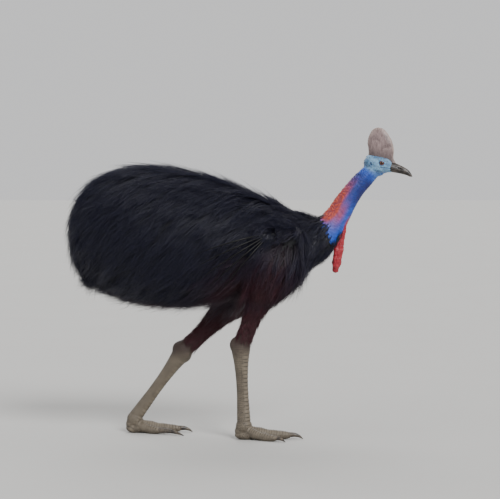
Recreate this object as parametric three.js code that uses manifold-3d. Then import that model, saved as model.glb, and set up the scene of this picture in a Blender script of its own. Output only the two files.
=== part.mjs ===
// A southern cassowary, life size, walking forward with its neck held low.
// Millimetres, +Z up, the bird faces +X and its left side is +Y. The soles stand on Z = 0.

import * as THREE from 'three';
import { mergeVertices } from 'three/addons/utils/BufferGeometryUtils.js';
import Module from 'manifold-3d';

const wasm = await Module();
wasm.setup();

// Driving dimensions

const GAP = 0.35; // clear space where two pieces meet
const LOCK_GAP = 1.2; // and round a lock that another piece is cut clear of
const SIDES = { left: 1, right: -1 };

const TORSO = {
  middle: 2, halfLength: 483, // along X, from the rump to the chest
  height: 803, fall: 42, // height of the middle line, and how far it falls towards the chest
  halfHeight: [237, -80, -40], // at the middle, its slope and its bend towards the chest
  halfWidth: [190, -18, -8],
  roundness: 2.4, roof: 0.12, // how blunt the ends are, and how much the back narrows to a ridge
};
const RUMP_CUT = -250; // where the rump is parted from the torso

const NECK = {
  points: [[370, 786], [440, 792], [502, 822], [546, 878], [582, 938], [618, 990], [658, 1038], [700, 1080]],
  side: [92, 86, 62, 45, 38, 34, 31, 27],
  front: [108, 98, 68, 50, 43, 38, 34, 30],
  feathered: 0.3, // share of the length that the coat covers
  folds: 13, foldDepth: 1.5,
};

const HEAD = {
  at: [716, 0, 1093], turn: -14, nod: 9, // degrees towards the bird's right, and down
  middle: -3, halfLength: 59, halfWidth: [38, -4, -2], halfHeight: [35, -2, 0], drop: 3, roundness: 2.4,
  gape: { at: [42, 0, -12], half: [30, 40, 0.9] }, // the slit of the closed mouth, from the bill back under the eye
};
const EYE = { at: [15, 26.5, 5], radius: 13, lid: 12.2, lidThick: 2.7, lidAt: 36.2 };
const EAR = { at: [-27, 35.5, -5], radius: 6.5, rim: 1.8, cup: [5, 6, 5.6] };
const BILL = {
  points: [[22, -10], [52, -12], [86, -15], [116, -21], [139, -32]], // the mouth line
  side: [20, 18.5, 13.5, 9.5, 2.4],
  upper: [24, 25, 20, 14, 2.6],
  lower: [12, 12, 10, 7, 1.8],
  lowerLength: 0.95,
  nostril: { at: [88, 8.5, -5], half: [7, 3, 1.9] },
};
const CASQUE = {
  base: 0, height: 142, lean: [4, -22], // the middle line leans back as it rises
  halfLength: 55, halfWidth: 20, waist: 0.08, // the foot is drawn in by this share
};

const WATTLE = {
  length: [182, 160], root: [576, 16, 846], lean: -34, spread: 8,
  half: [10, 12, 14, 16.5, 18.5, 15], thick: [7.5, 7.5, 8, 9, 10, 8.5],
};

// Each leg: knee, lower shin, ankle and foot joint as X, Y, Z
const LEGS = {
  right: { knee: [322, -112, 742], shin: [222, -108, 520], ankle: [163, -96, 368], foot: [176, -92, 60] },
  left: { knee: [262, 112, 690], shin: [55, 106, 455], ankle: [-72, 98, 330], foot: [-268, 94, 62] },
};
const SHIN = { side: [44, 80, 62, 35, 26, 28], front: [62, 98, 76, 40, 29, 33] };
const ANKLE = { side: 31, front: 38 };
const TARSUS = { side: [31, 25, 21, 20, 22, 27], front: [38, 29, 24, 23, 25, 27], scutes: 11, scuteRise: 1.7 };
const FOOT = { side: 32, front: 32, up: 33, padFront: 42 };
const TOES = {
  inner: { angle: 27, length: 104, thick: 19, scutes: 4, claw: 108, clawThick: 11 },
  middle: { angle: 0, length: 172, thick: 21, scutes: 6, claw: 48, clawThick: 10.5 },
  outer: { angle: -29, length: 132, thick: 18, scutes: 5, claw: 40, clawThick: 9.5 },
};
const SOLE_DEPTH = 2.5; // how far the round pads would pass below the floor before they are cut flat

const WING = {
  root: [262, 166, 812], half: [38, 32, 22],
  quills: 5, length: 300, thick: 3.2, fall: [10, 46], // degrees below level, first and last quill
  stand: [30, 52, 54, 60], // how far each stands off the torso, from root to tip
};

// The coat hangs in flat, pointed locks. Each list runs from a lock's root to its tip.
const LOCK = {
  reach: [0, 0.2, 0.5, 0.8, 1], // shares of its length
  stand: [-16, -3, 12, 27, 40], // off the body, the root sunk in
  width: [0, 0.78, 1, 0.6, 0], // shares of its half width
  ridge: [0, 9, 11, 8, 0], // thickness at its middle
  fall: 1.1, // how steeply the flank's locks fall, against their way back
  bend: 0.45, // how far each step turns towards the lie of the coat
  leastTurn: 0.72, // cosine of the most that a lock may turn in one step
  hang: 0.3, // the pull back to the body where the coat hangs free, below and behind
};
const BODY_COAT = {
  rings: 11, from: 0.95, to: -0.8, spacing: 97, length: 245, shortest: 100, halfWidth: 45,
  rise: { back: 0.72, belly: 1.3 }, // how far the tips stand off there, against the flank's
  clearOf: { wing: 42, neck: -6, shin: 16 },
  bareFrom: 0.82, // no lock grows where the lie points this straight out from the body
};
const NECK_COAT = { rings: [0.28, 0.2], around: [8, 9], length: 165, halfWidth: 31, rise: 0.75, clear: 10 };
const SHIN_COAT = { rings: [0.1, 0.22, 0.34], around: [7, 7, 6], length: 125, halfWidth: 30, rise: 0.6, clear: 14 };

// Materials

const MATERIALS = {
  coat: { color: '#0d0d14', roughness: 0.62 },
  blue_skin: { color: '#2a5fb4', roughness: 0.55 },
  face_skin: { color: '#6fa9cf', roughness: 0.55 },
  wattle_skin: { color: '#a3202b', roughness: 0.5 },
  casque_horn: { color: '#5d4e42', roughness: 0.5 },
  bill_horn: { color: '#24211f', roughness: 0.42 },
  eye: { color: '#3a1d0e', roughness: 0.08 },
  leg_scales: { color: '#5a5348', roughness: 0.66 },
  claw_horn: { color: '#2c2824', roughness: 0.4 },
  quill_horn: { color: '#111014', roughness: 0.3 },
};
for (const name in MATERIALS)
  MATERIALS[name] = new THREE.MeshStandardMaterial({ ...MATERIALS[name], metalness: 0, flatShading: true });

// Numbers and points

const vec = (x, y, z) => new THREE.Vector3(x, y, z);
const lerp = THREE.MathUtils.lerp;
const radians = THREE.MathUtils.degToRad;

// The value at t, from 0 to 1, on a smooth line through evenly spaced values.
function along(values, t) {
  const curve = new THREE.SplineCurve(values.map((value, i) => new THREE.Vector2(i, value)));
  return curve.getPoint(t).y;
}

// Solids

// A closed surface: place(turn, way) gives each point, turn from 0 to 1 around it and way from 0 to 1 along it.
// All turns have to meet in one point at way 0 and at way 1.
function closedSkin(around, rows, place) {
  const shape = new THREE.SphereGeometry(1, around, rows);
  const position = shape.attributes.position;
  for (let i = 0; i < position.count; i++) {
    const column = (i % (around + 1)) % around;
    const row = Math.floor(i / (around + 1));
    position.setXYZ(i, ...place(column / around, row / rows));
  }
  return solidOf(shape);
}

function solidOf(shape) {
  shape.deleteAttribute('normal');
  shape.deleteAttribute('uv');
  const merged = mergeVertices(shape, 1e-4);
  const points = new Float32Array(merged.attributes.position.array);
  const triangles = new Uint32Array(merged.index.array);
  const corner = (i) => new THREE.Vector3().fromArray(points, 3 * triangles[i]);
  let volume = 0;
  for (let i = 0; i < triangles.length; i += 3)
    volume += corner(i).dot(corner(i + 1).cross(corner(i + 2)));
  if (volume < 0) triangles.reverse();
  return new wasm.Manifold(new wasm.Mesh({ numProp: 3, vertProperties: points, triVerts: triangles }));
}

// The corners of a solid's triangles, and only those of its largest closed surface
function largestSurface(solid) {
  const { vertProperties: points, triVerts: corners } = solid.getMesh();
  const group = Array.from({ length: points.length / 3 }, (_, i) => i);
  const root = (i) => {
    while (group[i] !== i) i = group[i] = group[group[i]];
    return i;
  };
  for (let i = 0; i < corners.length; i += 3) {
    group[root(corners[i])] = root(corners[i + 1]);
    group[root(corners[i + 1])] = root(corners[i + 2]);
  }
  const sizes = new Map();
  for (const corner of corners) sizes.set(root(corner), (sizes.get(root(corner)) ?? 0) + 1);
  const [kept] = [...sizes].reduce((best, entry) => (entry[1] > best[1] ? entry : best));
  return { points, corners: corners.filter((_, i) => root(corners[i - (i % 3)]) === kept) };
}

const join = (...solids) => solids.reduce((whole, piece) => whole.add(piece));

// A closed tube along a curve. half(way) gives its half sizes as [sideways, forwards], and reach(way, angle)
// may change the radius round the section. The section's side lies as near to `side` as the curve allows.
function tube(curve, half, { around = 12, rows = 12, side = vec(0, 1, 0), reach = () => 1, grow = 0 } = {}) {
  return closedSkin(around, rows, (turn, row) => {
    const end = row === 0 || row === 1;
    const way = (row * rows - 0.5) / (rows - 1);
    const t = THREE.MathUtils.clamp(way, 0, 1);
    const centre = curve.getPoint(t);
    const ahead = curve.getTangent(t);
    if (end) return centre.addScaledVector(ahead, row === 0 ? -1 - grow : 1 + grow);
    const across = side.clone().addScaledVector(ahead, -side.dot(ahead)).normalize();
    const front = across.clone().cross(ahead).normalize();
    const angle = turn * 2 * Math.PI;
    const [wide, deep] = half(t, angle);
    const size = reach(t, angle);
    return centre
      .addScaledVector(across, Math.cos(angle) * (wide * size + grow))
      .addScaledVector(front, Math.sin(angle) * (deep * size + grow));
  });
}

const curveXZ = (points) => new THREE.CatmullRomCurve3(points.map(([x, z]) => vec(x, 0, z)));

// An ellipsoid, with its long half sizes along X, Y and Z.
function ellipsoid(at, half, around = 12, rows = 8, grow = 0) {
  const shape = new THREE.SphereGeometry(1, around, rows);
  shape.scale(half[0] + grow, half[1] + grow, half[2] + grow);
  shape.translate(...at);
  return solidOf(shape);
}

// Torso

const bend = ([middle, slope, curve], s) => middle + slope * s + curve * s * s;

function torsoSection(x, grow) {
  const s = (x - TORSO.middle) / (TORSO.halfLength + grow);
  const inside = Math.max(0, 1 - Math.abs(s) ** TORSO.roundness) ** (1 / TORSO.roundness);
  return {
    height: TORSO.height - TORSO.fall * s,
    halfHeight: (bend(TORSO.halfHeight, s) + grow) * inside,
    halfWidth: (bend(TORSO.halfWidth, s) + grow) * inside,
  };
}

// The point at x and at a turn round the section: 0 on the back, 0.25 on the left side, 0.5 under the belly
function torsoPoint(x, turn, grow = 0) {
  const { height, halfHeight, halfWidth } = torsoSection(x, grow);
  const rise = Math.cos(turn * 2 * Math.PI);
  return vec(x, Math.sin(turn * 2 * Math.PI) * halfWidth * (1 - TORSO.roof * rise), height + rise * halfHeight);
}

function torsoSolid(grow = 0) {
  const reach = TORSO.halfLength + grow;
  return closedSkin(20, 16, (turn, way) => torsoPoint(TORSO.middle - Math.cos(way * Math.PI) * reach, turn, grow));
}

// Neck

const neckCurve = curveXZ(NECK.points);

function neckSolid(grow = 0) {
  const half = (t) => [along(NECK.side, t), along(NECK.front, t)];
  const folds = (t, angle) => {
    const bare = THREE.MathUtils.smoothstep(t, NECK.feathered, NECK.feathered + 0.1);
    const fold = Math.sin(t * NECK.folds * Math.PI + 1.5 * Math.cos(angle));
    return 1 + (bare * NECK.foldDepth * fold) / along(NECK.side, t);
  };
  return tube(neckCurve, half, { around: 12, rows: 27, reach: folds, grow });
}

function neckCutPlane(t) {
  const normal = neckCurve.getTangent(t);
  return { normal: normal.toArray(), offset: normal.dot(neckCurve.getPoint(t)) };
}

// Head, in its own frame: X to the bill's tip, the eyes near X = 15, turned and set on the neck at the end

const headPlace = new THREE.Matrix4()
  .makeTranslation(...HEAD.at)
  .multiply(new THREE.Matrix4().makeRotationZ(radians(HEAD.turn)))
  .multiply(new THREE.Matrix4().makeRotationY(radians(HEAD.nod)));
const onBird = (solid) => solid.transform(headPlace.elements);

function headSkull(grow = 0) {
  return closedSkin(16, 10, (turn, way) => {
    const s = -Math.cos(way * Math.PI);
    const inside = (1 - Math.abs(s) ** HEAD.roundness) ** (1 / HEAD.roundness);
    const wide = (bend(HEAD.halfWidth, s) + grow) * inside;
    const tall = (bend(HEAD.halfHeight, s) + grow) * inside;
    const angle = turn * 2 * Math.PI;
    const x = HEAD.middle + s * (HEAD.halfLength + grow);
    return vec(x, Math.cos(angle) * wide, Math.sin(angle) * tall - HEAD.drop);
  });
}

function eyeSolid(side, grow = 0) {
  const [x, y, z] = EYE.at;
  return ellipsoid([x, side * y, z], [EYE.radius, EYE.radius, EYE.radius], 12, 8, grow);
}

// A rim standing on the side of the head
function rim(at, side, radius, thick, stretch, grow) {
  const shape = new THREE.TorusGeometry(radius, thick + grow, 4, 11);
  shape.scale(stretch, 1, 1);
  shape.rotateX(Math.PI / 2);
  shape.translate(at[0], side * at[1], at[2]);
  return solidOf(shape);
}

// The skull with the lids and the edges of the ears standing on it
function headShape(grow = 0) {
  const eyelid = (side) => rim([EYE.at[0], EYE.lidAt, EYE.at[2]], side, EYE.lid, EYE.lidThick, 1.12, grow);
  const earRim = (side) => rim(EAR.at, side, EAR.radius, EAR.rim, 0.9, grow);
  return join(headSkull(grow), eyelid(1), eyelid(-1), earRim(1), earRim(-1));
}

const billCurve = curveXZ(BILL.points);

function billHalf(upper, grow = 0) {
  const height = upper ? BILL.upper : BILL.lower;
  const length = upper ? 1 : BILL.lowerLength;
  const curve = curveXZ(BILL.points.map((_, i, all) => {
    const point = billCurve.getPoint((length * i) / (all.length - 1));
    return [point.x, point.z + (upper ? 1 : -1) * 0.5];
  }));
  const half = (t, angle) => {
    const outward = upper ? Math.sin(angle) < 0 : Math.sin(angle) > 0;
    return [along(BILL.side, t) * (upper ? 1 : 0.86), outward ? along(height, t) : 0.25];
  };
  return tube(curve, half, { around: 10, rows: 9, grow });
}

function nostril(side) {
  const [x, y, z] = BILL.nostril.at;
  return ellipsoid([x, side * y, z], BILL.nostril.half, 6, 4);
}

function casqueSolid() {
  return closedSkin(14, 11, (turn, way) => {
    const rise = Math.sin((way * Math.PI) / 2);
    const end = way === 0 || way === 1;
    const foot = 1 - CASQUE.waist * (1 - THREE.MathUtils.smoothstep(rise, 0, 0.5));
    const length = end ? 0 : CASQUE.halfLength * foot * (1 - rise ** 3.2) ** 0.5;
    const width = end ? 0 : CASQUE.halfWidth * (1 - rise ** 2) ** 0.62;
    const angle = turn * 2 * Math.PI;
    const keel = Math.sign(Math.sin(angle)) * Math.abs(Math.sin(angle)) ** 1.35;
    return vec(
      lerp(...CASQUE.lean, rise) + Math.cos(angle) * length, keel * width, CASQUE.base + CASQUE.height * rise);
  });
}

// Wattles

function wattleSolid(side) {
  const [x, y, z] = WATTLE.root;
  const length = WATTLE.length[side > 0 ? 0 : 1];
  const points = [0, 0.3, 0.65, 1].map((t) => vec(
    x + WATTLE.lean * t ** 0.8, side * (y + WATTLE.spread * t), z - length * t));
  const curve = new THREE.CatmullRomCurve3(points);
  const folds = (t, angle) => 1 + 0.09 * Math.sin(t * 38 + 2 * Math.cos(angle)) + 0.05 * Math.sin(t * 21 + side);
  return tube(curve, (t) => [along(WATTLE.thick, t), along(WATTLE.half, t)], { around: 8, rows: 14, reach: folds });
}

// Legs

const legCurve = (...points) => new THREE.CatmullRomCurve3(points.map((p) => vec(...p)));

function shinCurve({ knee, shin, ankle }) {
  const top = vec(...knee).lerp(vec(...shin), -0.2).toArray();
  const calf = vec(...knee).lerp(vec(...shin), 0.5).toArray();
  return legCurve(top, calf, shin, ankle);
}

function shinSolid(leg, grow = 0) {
  const half = (t) => [along(SHIN.side, t), along(SHIN.front, t)];
  return tube(shinCurve(leg), half, { around: 12, rows: 11, grow });
}

// Broad scutes cross the front of the shank, each one standing a little over the next one down.
function tarsusSolid(leg, grow = 0) {
  const { ankle, foot } = leg;
  const curve = legCurve(ankle, vec(...ankle).lerp(vec(...foot), 0.5).toArray(), foot);
  const length = curve.getLength();
  const scutes = (t, angle) => {
    const facing = Math.max(0, -Math.sin(angle)) ** 0.7;
    const within = (t * TARSUS.scutes) % 1;
    const step = within < 0.55 ? 1 : 0;
    return 1 + (facing * step * TARSUS.scuteRise) / TARSUS.front[2];
  };
  const shank = tube(curve, (t) => [along(TARSUS.side, t), along(TARSUS.front, t)],
    { around: 9, rows: 2 * TARSUS.scutes + 1, reach: scutes, grow });
  const joint = ellipsoid(ankle, [ANKLE.front, ANKLE.side, ANKLE.front + length * 0.03], 12, 7, grow);
  return join(shank, joint);
}

function footSolid(leg, grow = 0) {
  const [x, y, z] = leg.foot;
  const ball = ellipsoid([x, y, z - 8], [FOOT.front, FOOT.side, FOOT.up], 12, 7, grow);
  const pad = ellipsoid([x + 6, y, 17], [FOOT.padFront, FOOT.side, 17 + SOLE_DEPTH], 12, 6, grow);
  return onFloor(join(ball, pad));
}

const onFloor = (solid) => solid.trimByPlane([0, 0, 1], 0);

function toeFrame(leg, side, toe) {
  const angle = radians(-side * toe.angle);
  const heading = vec(Math.cos(angle), Math.sin(angle), 0);
  const across = vec(-Math.sin(angle), Math.cos(angle), 0);
  return { heading, across, start: vec(leg.foot[0], leg.foot[1], 0) };
}

function toeCurve(leg, side, toe) {
  const { heading, start } = toeFrame(leg, side, toe);
  const low = toe.thick - SOLE_DEPTH;
  const at = (share, height) => start.clone().addScaledVector(heading, 12 + toe.length * share).setZ(height);
  return new THREE.CatmullRomCurve3([at(0, 34), at(0.3, low + 7), at(0.62, low - 1), at(1, low - 3)]);
}

function toeSolid(leg, side, toe, grow = 0) {
  const { across } = toeFrame(leg, side, toe);
  const curve = toeCurve(leg, side, toe);
  const scutes = (t, angle) => {
    const facing = Math.max(0, -Math.sin(angle)) ** 0.7;
    const step = (t * toe.scutes) % 1 < 0.55 ? 1 : 0;
    const pad = Math.max(0, Math.sin(angle)) * 0.07 * Math.cos(t * 3 * 2 * Math.PI);
    return 1 + facing * step * 0.07 + pad;
  };
  const half = (t) => {
    const size = toe.thick * lerp(1.12, 0.74, t);
    return [size * 1.02, size];
  };
  return onFloor(tube(curve, half, { around: 8, rows: 2 * toe.scutes + 1, side: across, reach: scutes, grow }));
}

function clawSolid(leg, side, toe) {
  const { heading, across, start } = toeFrame(leg, side, toe);
  const root = start.clone().addScaledVector(heading, toe.length + 2);
  const base = toe.thick - SOLE_DEPTH - 2;
  const at = (share, height) => root.clone().addScaledVector(heading, (toe.claw + 12) * share).setZ(height);
  const curve = new THREE.CatmullRomCurve3([at(0, base), at(0.4, base + 1), at(0.75, base * 0.72), at(1, 2.2)]);
  const half = (t) => {
    const size = toe.clawThick * (1 - t ** 1.4 * 0.86);
    return [size * 0.8, size];
  };
  return onFloor(tube(curve, half, { around: 6, rows: 6, side: across }));
}

// Wings: a small stub on each side, with bare curved quills that lie back over the flank

function quillSolid(side, place, grow) {
  const share = place / (WING.quills - 1);
  const [x, , z] = WING.root;
  const fall = radians(lerp(...WING.fall, share));
  const length = WING.length * (1 - 0.3 * Math.abs(share - 0.4));
  const points = WING.stand.map((stand, i) => {
    const reach = (i / (WING.stand.length - 1)) * length;
    const back = x - 8 - reach * Math.cos(fall);
    const down = z - 6 * place + 8 - reach * Math.sin(fall) - (0.1 * reach ** 2) / length;
    const { height, halfHeight } = torsoSection(back, stand);
    return torsoPoint(back, (side * Math.acos((down - height) / halfHeight)) / (2 * Math.PI), stand);
  });
  const half = (t) => Array(2).fill(WING.thick * (1 - 0.8 * t ** 2));
  return tube(new THREE.CatmullRomCurve3(points), half, { around: 5, rows: 6, side: vec(0, 0, 1), grow });
}

function wingSolid(side, grow = 0) {
  const [x, y, z] = WING.root;
  const quills = Array.from({ length: WING.quills }, (_, i) => quillSolid(side, i, grow));
  return join(ellipsoid([x, side * y, z], WING.half, 10, 6, grow), ...quills);
}

// Coat

let seed = 20;
function draw(from, to) {
  seed = (seed * 16807) % 2147483647;
  return lerp(from, to, seed / 2147483647);
}

// How far a point stands off the torso, and the way out from it there
function offTorso(p) {
  const level = ({ x, y, z }) => {
    const s = THREE.MathUtils.clamp((x - TORSO.middle) / TORSO.halfLength, -1.4, 1.4);
    const rise = (z - TORSO.height + TORSO.fall * s) / bend(TORSO.halfHeight, s);
    const wide = y / (bend(TORSO.halfWidth, s) * (1 - TORSO.roof * THREE.MathUtils.clamp(rise, -1, 1)));
    return (Math.abs(s) ** TORSO.roundness + Math.hypot(rise, wide) ** TORSO.roundness) ** (1 / TORSO.roundness);
  };
  const here = level(p);
  const slope = vec(level(vec(p.x + 1, p.y, p.z)) - here, level(vec(p.x, p.y + 1, p.z)) - here,
    level(vec(p.x, p.y, p.z + 1)) - here);
  return { stand: (here - 1) / slope.length(), out: slope.normalize() };
}

// The same for a limb, taken as balls along its middle line
function offLimb(curve, side, front) {
  const balls = Array.from({ length: 25 }, (_, i) => {
    const t = i / 24;
    return { centre: curve.getPoint(t), radius: (along(side, t) + along(front, t)) / 2 };
  });
  return (p) => {
    const near = balls.map(({ centre, radius }) => ({ stand: p.distanceTo(centre) - radius, centre }))
      .reduce((best, ball) => (ball.stand < best.stand ? ball : best));
    return { stand: near.stand, out: p.clone().sub(near.centre).normalize() };
  };
}

const offNeck = offLimb(neckCurve, NECK.side, NECK.front);
const offShin = {};
for (const name in SIDES) offShin[name] = offLimb(shinCurve(LEGS[name]), SHIN.side, SHIN.front);
const nearest = (...fields) => (p) => fields.map((field) => field(p)).reduce((a, b) => (a.stand < b.stand ? a : b));
const offBody = nearest(offTorso, offNeck, offShin.left, offShin.right);

// Where a lock runs: its middle at each step, with the way ahead, out and across there. It keeps some of
// its way from step to step, is pushed off the body where it comes too near and is drawn back where it is too far.
// The left side's locks are mirrored, facets and all.
function lockPath(root, lie, length, rise, yaw) {
  const point = root.clone();
  let way = null;
  return LOCK.reach.map((reach, i) => {
    let { out } = offBody(point);
    const wanted = lie(point).applyAxisAngle(out, yaw);
    const outward = Math.max(0, wanted.dot(out));
    wanted.addScaledVector(out, -wanted.dot(out)).normalize();
    way = way ? way.lerp(wanted, LOCK.bend).normalize() : wanted;
    point.addScaledVector(way, length * (reach - (LOCK.reach[i - 1] ?? 0)));
    const stand = LOCK.stand[i] * (LOCK.stand[i] > 0 ? rise : 1);
    for (let turn = 0; turn < 3; turn++) {
      const here = offBody(point);
      const short = stand - here.stand;
      const pull = short > 0 || i < 2 ? 1 : lerp(0.8, LOCK.hang, outward);
      point.addScaledVector(here.out, short * (turn === 0 || short > 0 ? pull : 0));
      out = here.out;
    }
    const ahead = way.clone().addScaledVector(out, -way.dot(out)).normalize();
    const across = root.y > 0 ? ahead.cross(out) : out.clone().cross(ahead);
    return { centre: point.clone(), out, across };
  });
}

// A lock's section has three corners: its two edges and the ridge between them. A lock grown all round
// has its sharp edges moved much farther out than its faces.
function lockSolid({ path, halfWidth }, grow = 0) {
  const last = path.length - 1;
  const sharp = 5 * grow;
  return closedSkin(3, last, (turn, way) => {
    const i = Math.round(way * last);
    const { centre, out, across } = path[i];
    if (i === 0 || i === last) {
      const beyond = centre.clone().sub(path[i === 0 ? 1 : last - 1].centre).setLength(sharp);
      return beyond.add(centre);
    }
    const corner = Math.round(turn * 3);
    const wide = [1, 0, -1][corner] * (LOCK.width[i] * halfWidth + sharp);
    const up = corner === 1 ? LOCK.ridge[i] + grow : -grow;
    return centre.clone().addScaledVector(across, wide).addScaledVector(out, up);
  });
}

const joinLocks = (locks, grow) => join(...locks.map((lock) => lockSolid(lock, grow)));
const lieBack = () => vec(-1, 0, -LOCK.fall).normalize();

// The torso's locks grow in rings from the chest to the rump, and lie back along it and down its sides.
function torsoLocks() {
  const locks = [];
  for (let ring = 0; ring < BODY_COAT.rings; ring++) {
    const share = lerp(BODY_COAT.from, BODY_COAT.to, ring / (BODY_COAT.rings - 1));
    const middle = TORSO.middle + TORSO.halfLength * Math.sin((share * Math.PI) / 2);
    const { halfHeight, halfWidth } = torsoSection(middle, 0);
    const around = Math.round((Math.PI * (halfHeight + halfWidth)) / BODY_COAT.spacing);
    for (let i = 0; i < around; i++) {
      const turn = (i + (ring % 2) / 2 + draw(-0.1, 0.1)) / around;
      const root = torsoPoint(awayFromCut(middle + draw(-9, 9)), turn);
      const { out } = offTorso(root);
      if (hidden(root) || lieBack().dot(out) > BODY_COAT.bareFrom) continue;
      const rise = lerp(1, out.z > 0 ? BODY_COAT.rise.back : BODY_COAT.rise.belly, Math.abs(out.z));
      const yaw = draw(-0.1, 0.1);
      const halfWidth = BODY_COAT.halfWidth * draw(0.9, 1.04);
      let length = BODY_COAT.length * draw(0.88, 1.1);
      let path = lockPath(root, lieBack, length, rise, yaw);
      while (!clearOfWings(path) && length > BODY_COAT.shortest) {
        length *= 0.85;
        path = lockPath(root, lieBack, length, rise, yaw);
      }
      if (clearOfWings(path) && !twisted(path)) locks.push({ path, halfWidth, root });
    }
  }
  return locks;
}

function hidden(root) {
  const { neck, shin } = BODY_COAT.clearOf;
  return offNeck(root).stand < neck || Math.min(offShin.left(root).stand, offShin.right(root).stand) < shin;
}

// A lock that comes from one limb's side to another's would fold through itself.
const twisted = (path) => path.some(({ across, out }, i) => {
  const before = path[Math.max(0, i - 1)];
  return Math.min(across.dot(before.across), out.dot(before.out)) < LOCK.leastTurn;
});

function clearOfWings(path) {
  const [x, y, z] = WING.root;
  const away = ({ centre }) => Math.hypot(centre.x - x, Math.abs(centre.y) - y - WING.half[1] / 2, centre.z - z);
  return path.every((step) => away(step) > BODY_COAT.clearOf.wing);
}

// No lock's root is cut by the joint of torso and rump.
function awayFromCut(x) {
  if (x > RUMP_CUT - 12 && x <= RUMP_CUT) return RUMP_CUT - 15;
  return x > RUMP_CUT && x < RUMP_CUT + 62 ? RUMP_CUT + 62 : x;
}

// Locks in rings round a limb, where it is clear of the torso
function limbLocks(curve, offIt, coat, lie) {
  const locks = [];
  coat.rings.forEach((t, ring) => {
    const ahead = curve.getTangent(t);
    for (let i = 0; i < coat.around[ring]; i++) {
      const angle = ((i + ring / 2 + draw(-0.1, 0.1)) / coat.around[ring]) * 2 * Math.PI;
      const spoke = vec(0, 1, 0).addScaledVector(ahead, -ahead.y).normalize().applyAxisAngle(ahead, angle);
      const root = curve.getPoint(t).addScaledVector(spoke, 200);
      root.addScaledVector(spoke, -offIt(root).stand);
      const path = lockPath(root, lie, coat.length * draw(0.88, 1.1), coat.rise, draw(-0.08, 0.08));
      const halfWidth = coat.halfWidth * draw(0.9, 1.1);
      if (offTorso(root).stand > coat.clear && !twisted(path)) locks.push({ path, halfWidth });
    }
  });
  return locks;
}

// Assembly

const bird = new THREE.Group();

function addNode(name, solid, material) {
  const { points, corners } = largestSurface(solid);
  const shape = new THREE.BufferGeometry();
  shape.setAttribute('position', new THREE.BufferAttribute(points, 3));
  shape.setIndex(new THREE.BufferAttribute(corners, 1));
  shape.computeVertexNormals();
  const mesh = new THREE.Mesh(shape, material);
  mesh.name = name;
  bird.add(mesh);
}

const neckSplit = neckCutPlane(NECK.feathered);
const back = neckSplit.normal.map((part) => -part);

// The torso's locks are cut clear of the pieces that stand out through them, and other nodes of the locks.
const standOut = (grow) => join(neckSolid(grow), wingSolid(1, grow), wingSolid(-1, grow),
  shinSolid(LEGS.left, grow), shinSolid(LEGS.right, grow));
const allLocks = torsoLocks();
const frontLocks = allLocks.filter(({ root }) => root.x > RUMP_CUT);
const rumpLocks = allLocks.filter(({ root }) => root.x <= RUMP_CUT);
const torsoSpace = join(torsoSolid(2 * GAP), joinLocks(allLocks, LOCK_GAP).subtract(standOut(0)));

function buildTorso() {
  const front = torsoSolid().trimByPlane([1, 0, 0], RUMP_CUT + GAP / 2);
  const rear = torsoSolid().trimByPlane([-1, 0, 0], -RUMP_CUT + GAP / 2);
  addNode('torso', join(front, joinLocks(frontLocks).subtract(standOut(GAP))), MATERIALS.coat);
  const rump = join(rear, joinLocks(rumpLocks).subtract(standOut(GAP)));
  addNode('rump', rump.subtract(joinLocks(frontLocks, LOCK_GAP)), MATERIALS.coat);
}

function buildNeck() {
  const neck = neckSolid();
  const base = neck.trimByPlane(back, -neckSplit.offset + GAP / 2);
  const coat = joinLocks(limbLocks(neckCurve, offNeck, NECK_COAT, lieBack));
  addNode('neck_base', join(base, coat).subtract(torsoSpace), MATERIALS.coat);
  const bare = neck.trimByPlane(neckSplit.normal, neckSplit.offset + GAP / 2);
  addNode('neck', bare.subtract(onBird(headShape(GAP))).subtract(torsoSpace), MATERIALS.blue_skin);
  for (const [name, side] of Object.entries(SIDES))
    addNode(`wattle_${name}`, wattleSolid(side).subtract(neckSolid(GAP)), MATERIALS.wattle_skin);
}

function buildHead() {
  let head = headShape();
  for (const side of Object.values(SIDES)) {
    head = head.subtract(eyeSolid(side, GAP));
    head = head.subtract(ellipsoid([EAR.at[0], side * EAR.at[1], EAR.at[2]], EAR.cup, 10, 6));
  }
  head = head.subtract(ellipsoid(HEAD.gape.at, HEAD.gape.half, 14, 4));
  const skull = headSkull(GAP);
  const upper = billHalf(true);
  const holes = join(nostril(1), nostril(-1));
  addNode('head', onBird(head), MATERIALS.face_skin);
  addNode('casque', onBird(casqueSolid().subtract(skull).subtract(billHalf(true, GAP))), MATERIALS.casque_horn);
  addNode('bill_upper', onBird(upper.subtract(skull).subtract(holes)), MATERIALS.bill_horn);
  addNode('bill_lower', onBird(billHalf(false).subtract(skull)), MATERIALS.bill_horn);
  for (const [name, side] of Object.entries(SIDES))
    addNode(`eye_${name}`, onBird(eyeSolid(side)), MATERIALS.eye);
}

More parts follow.
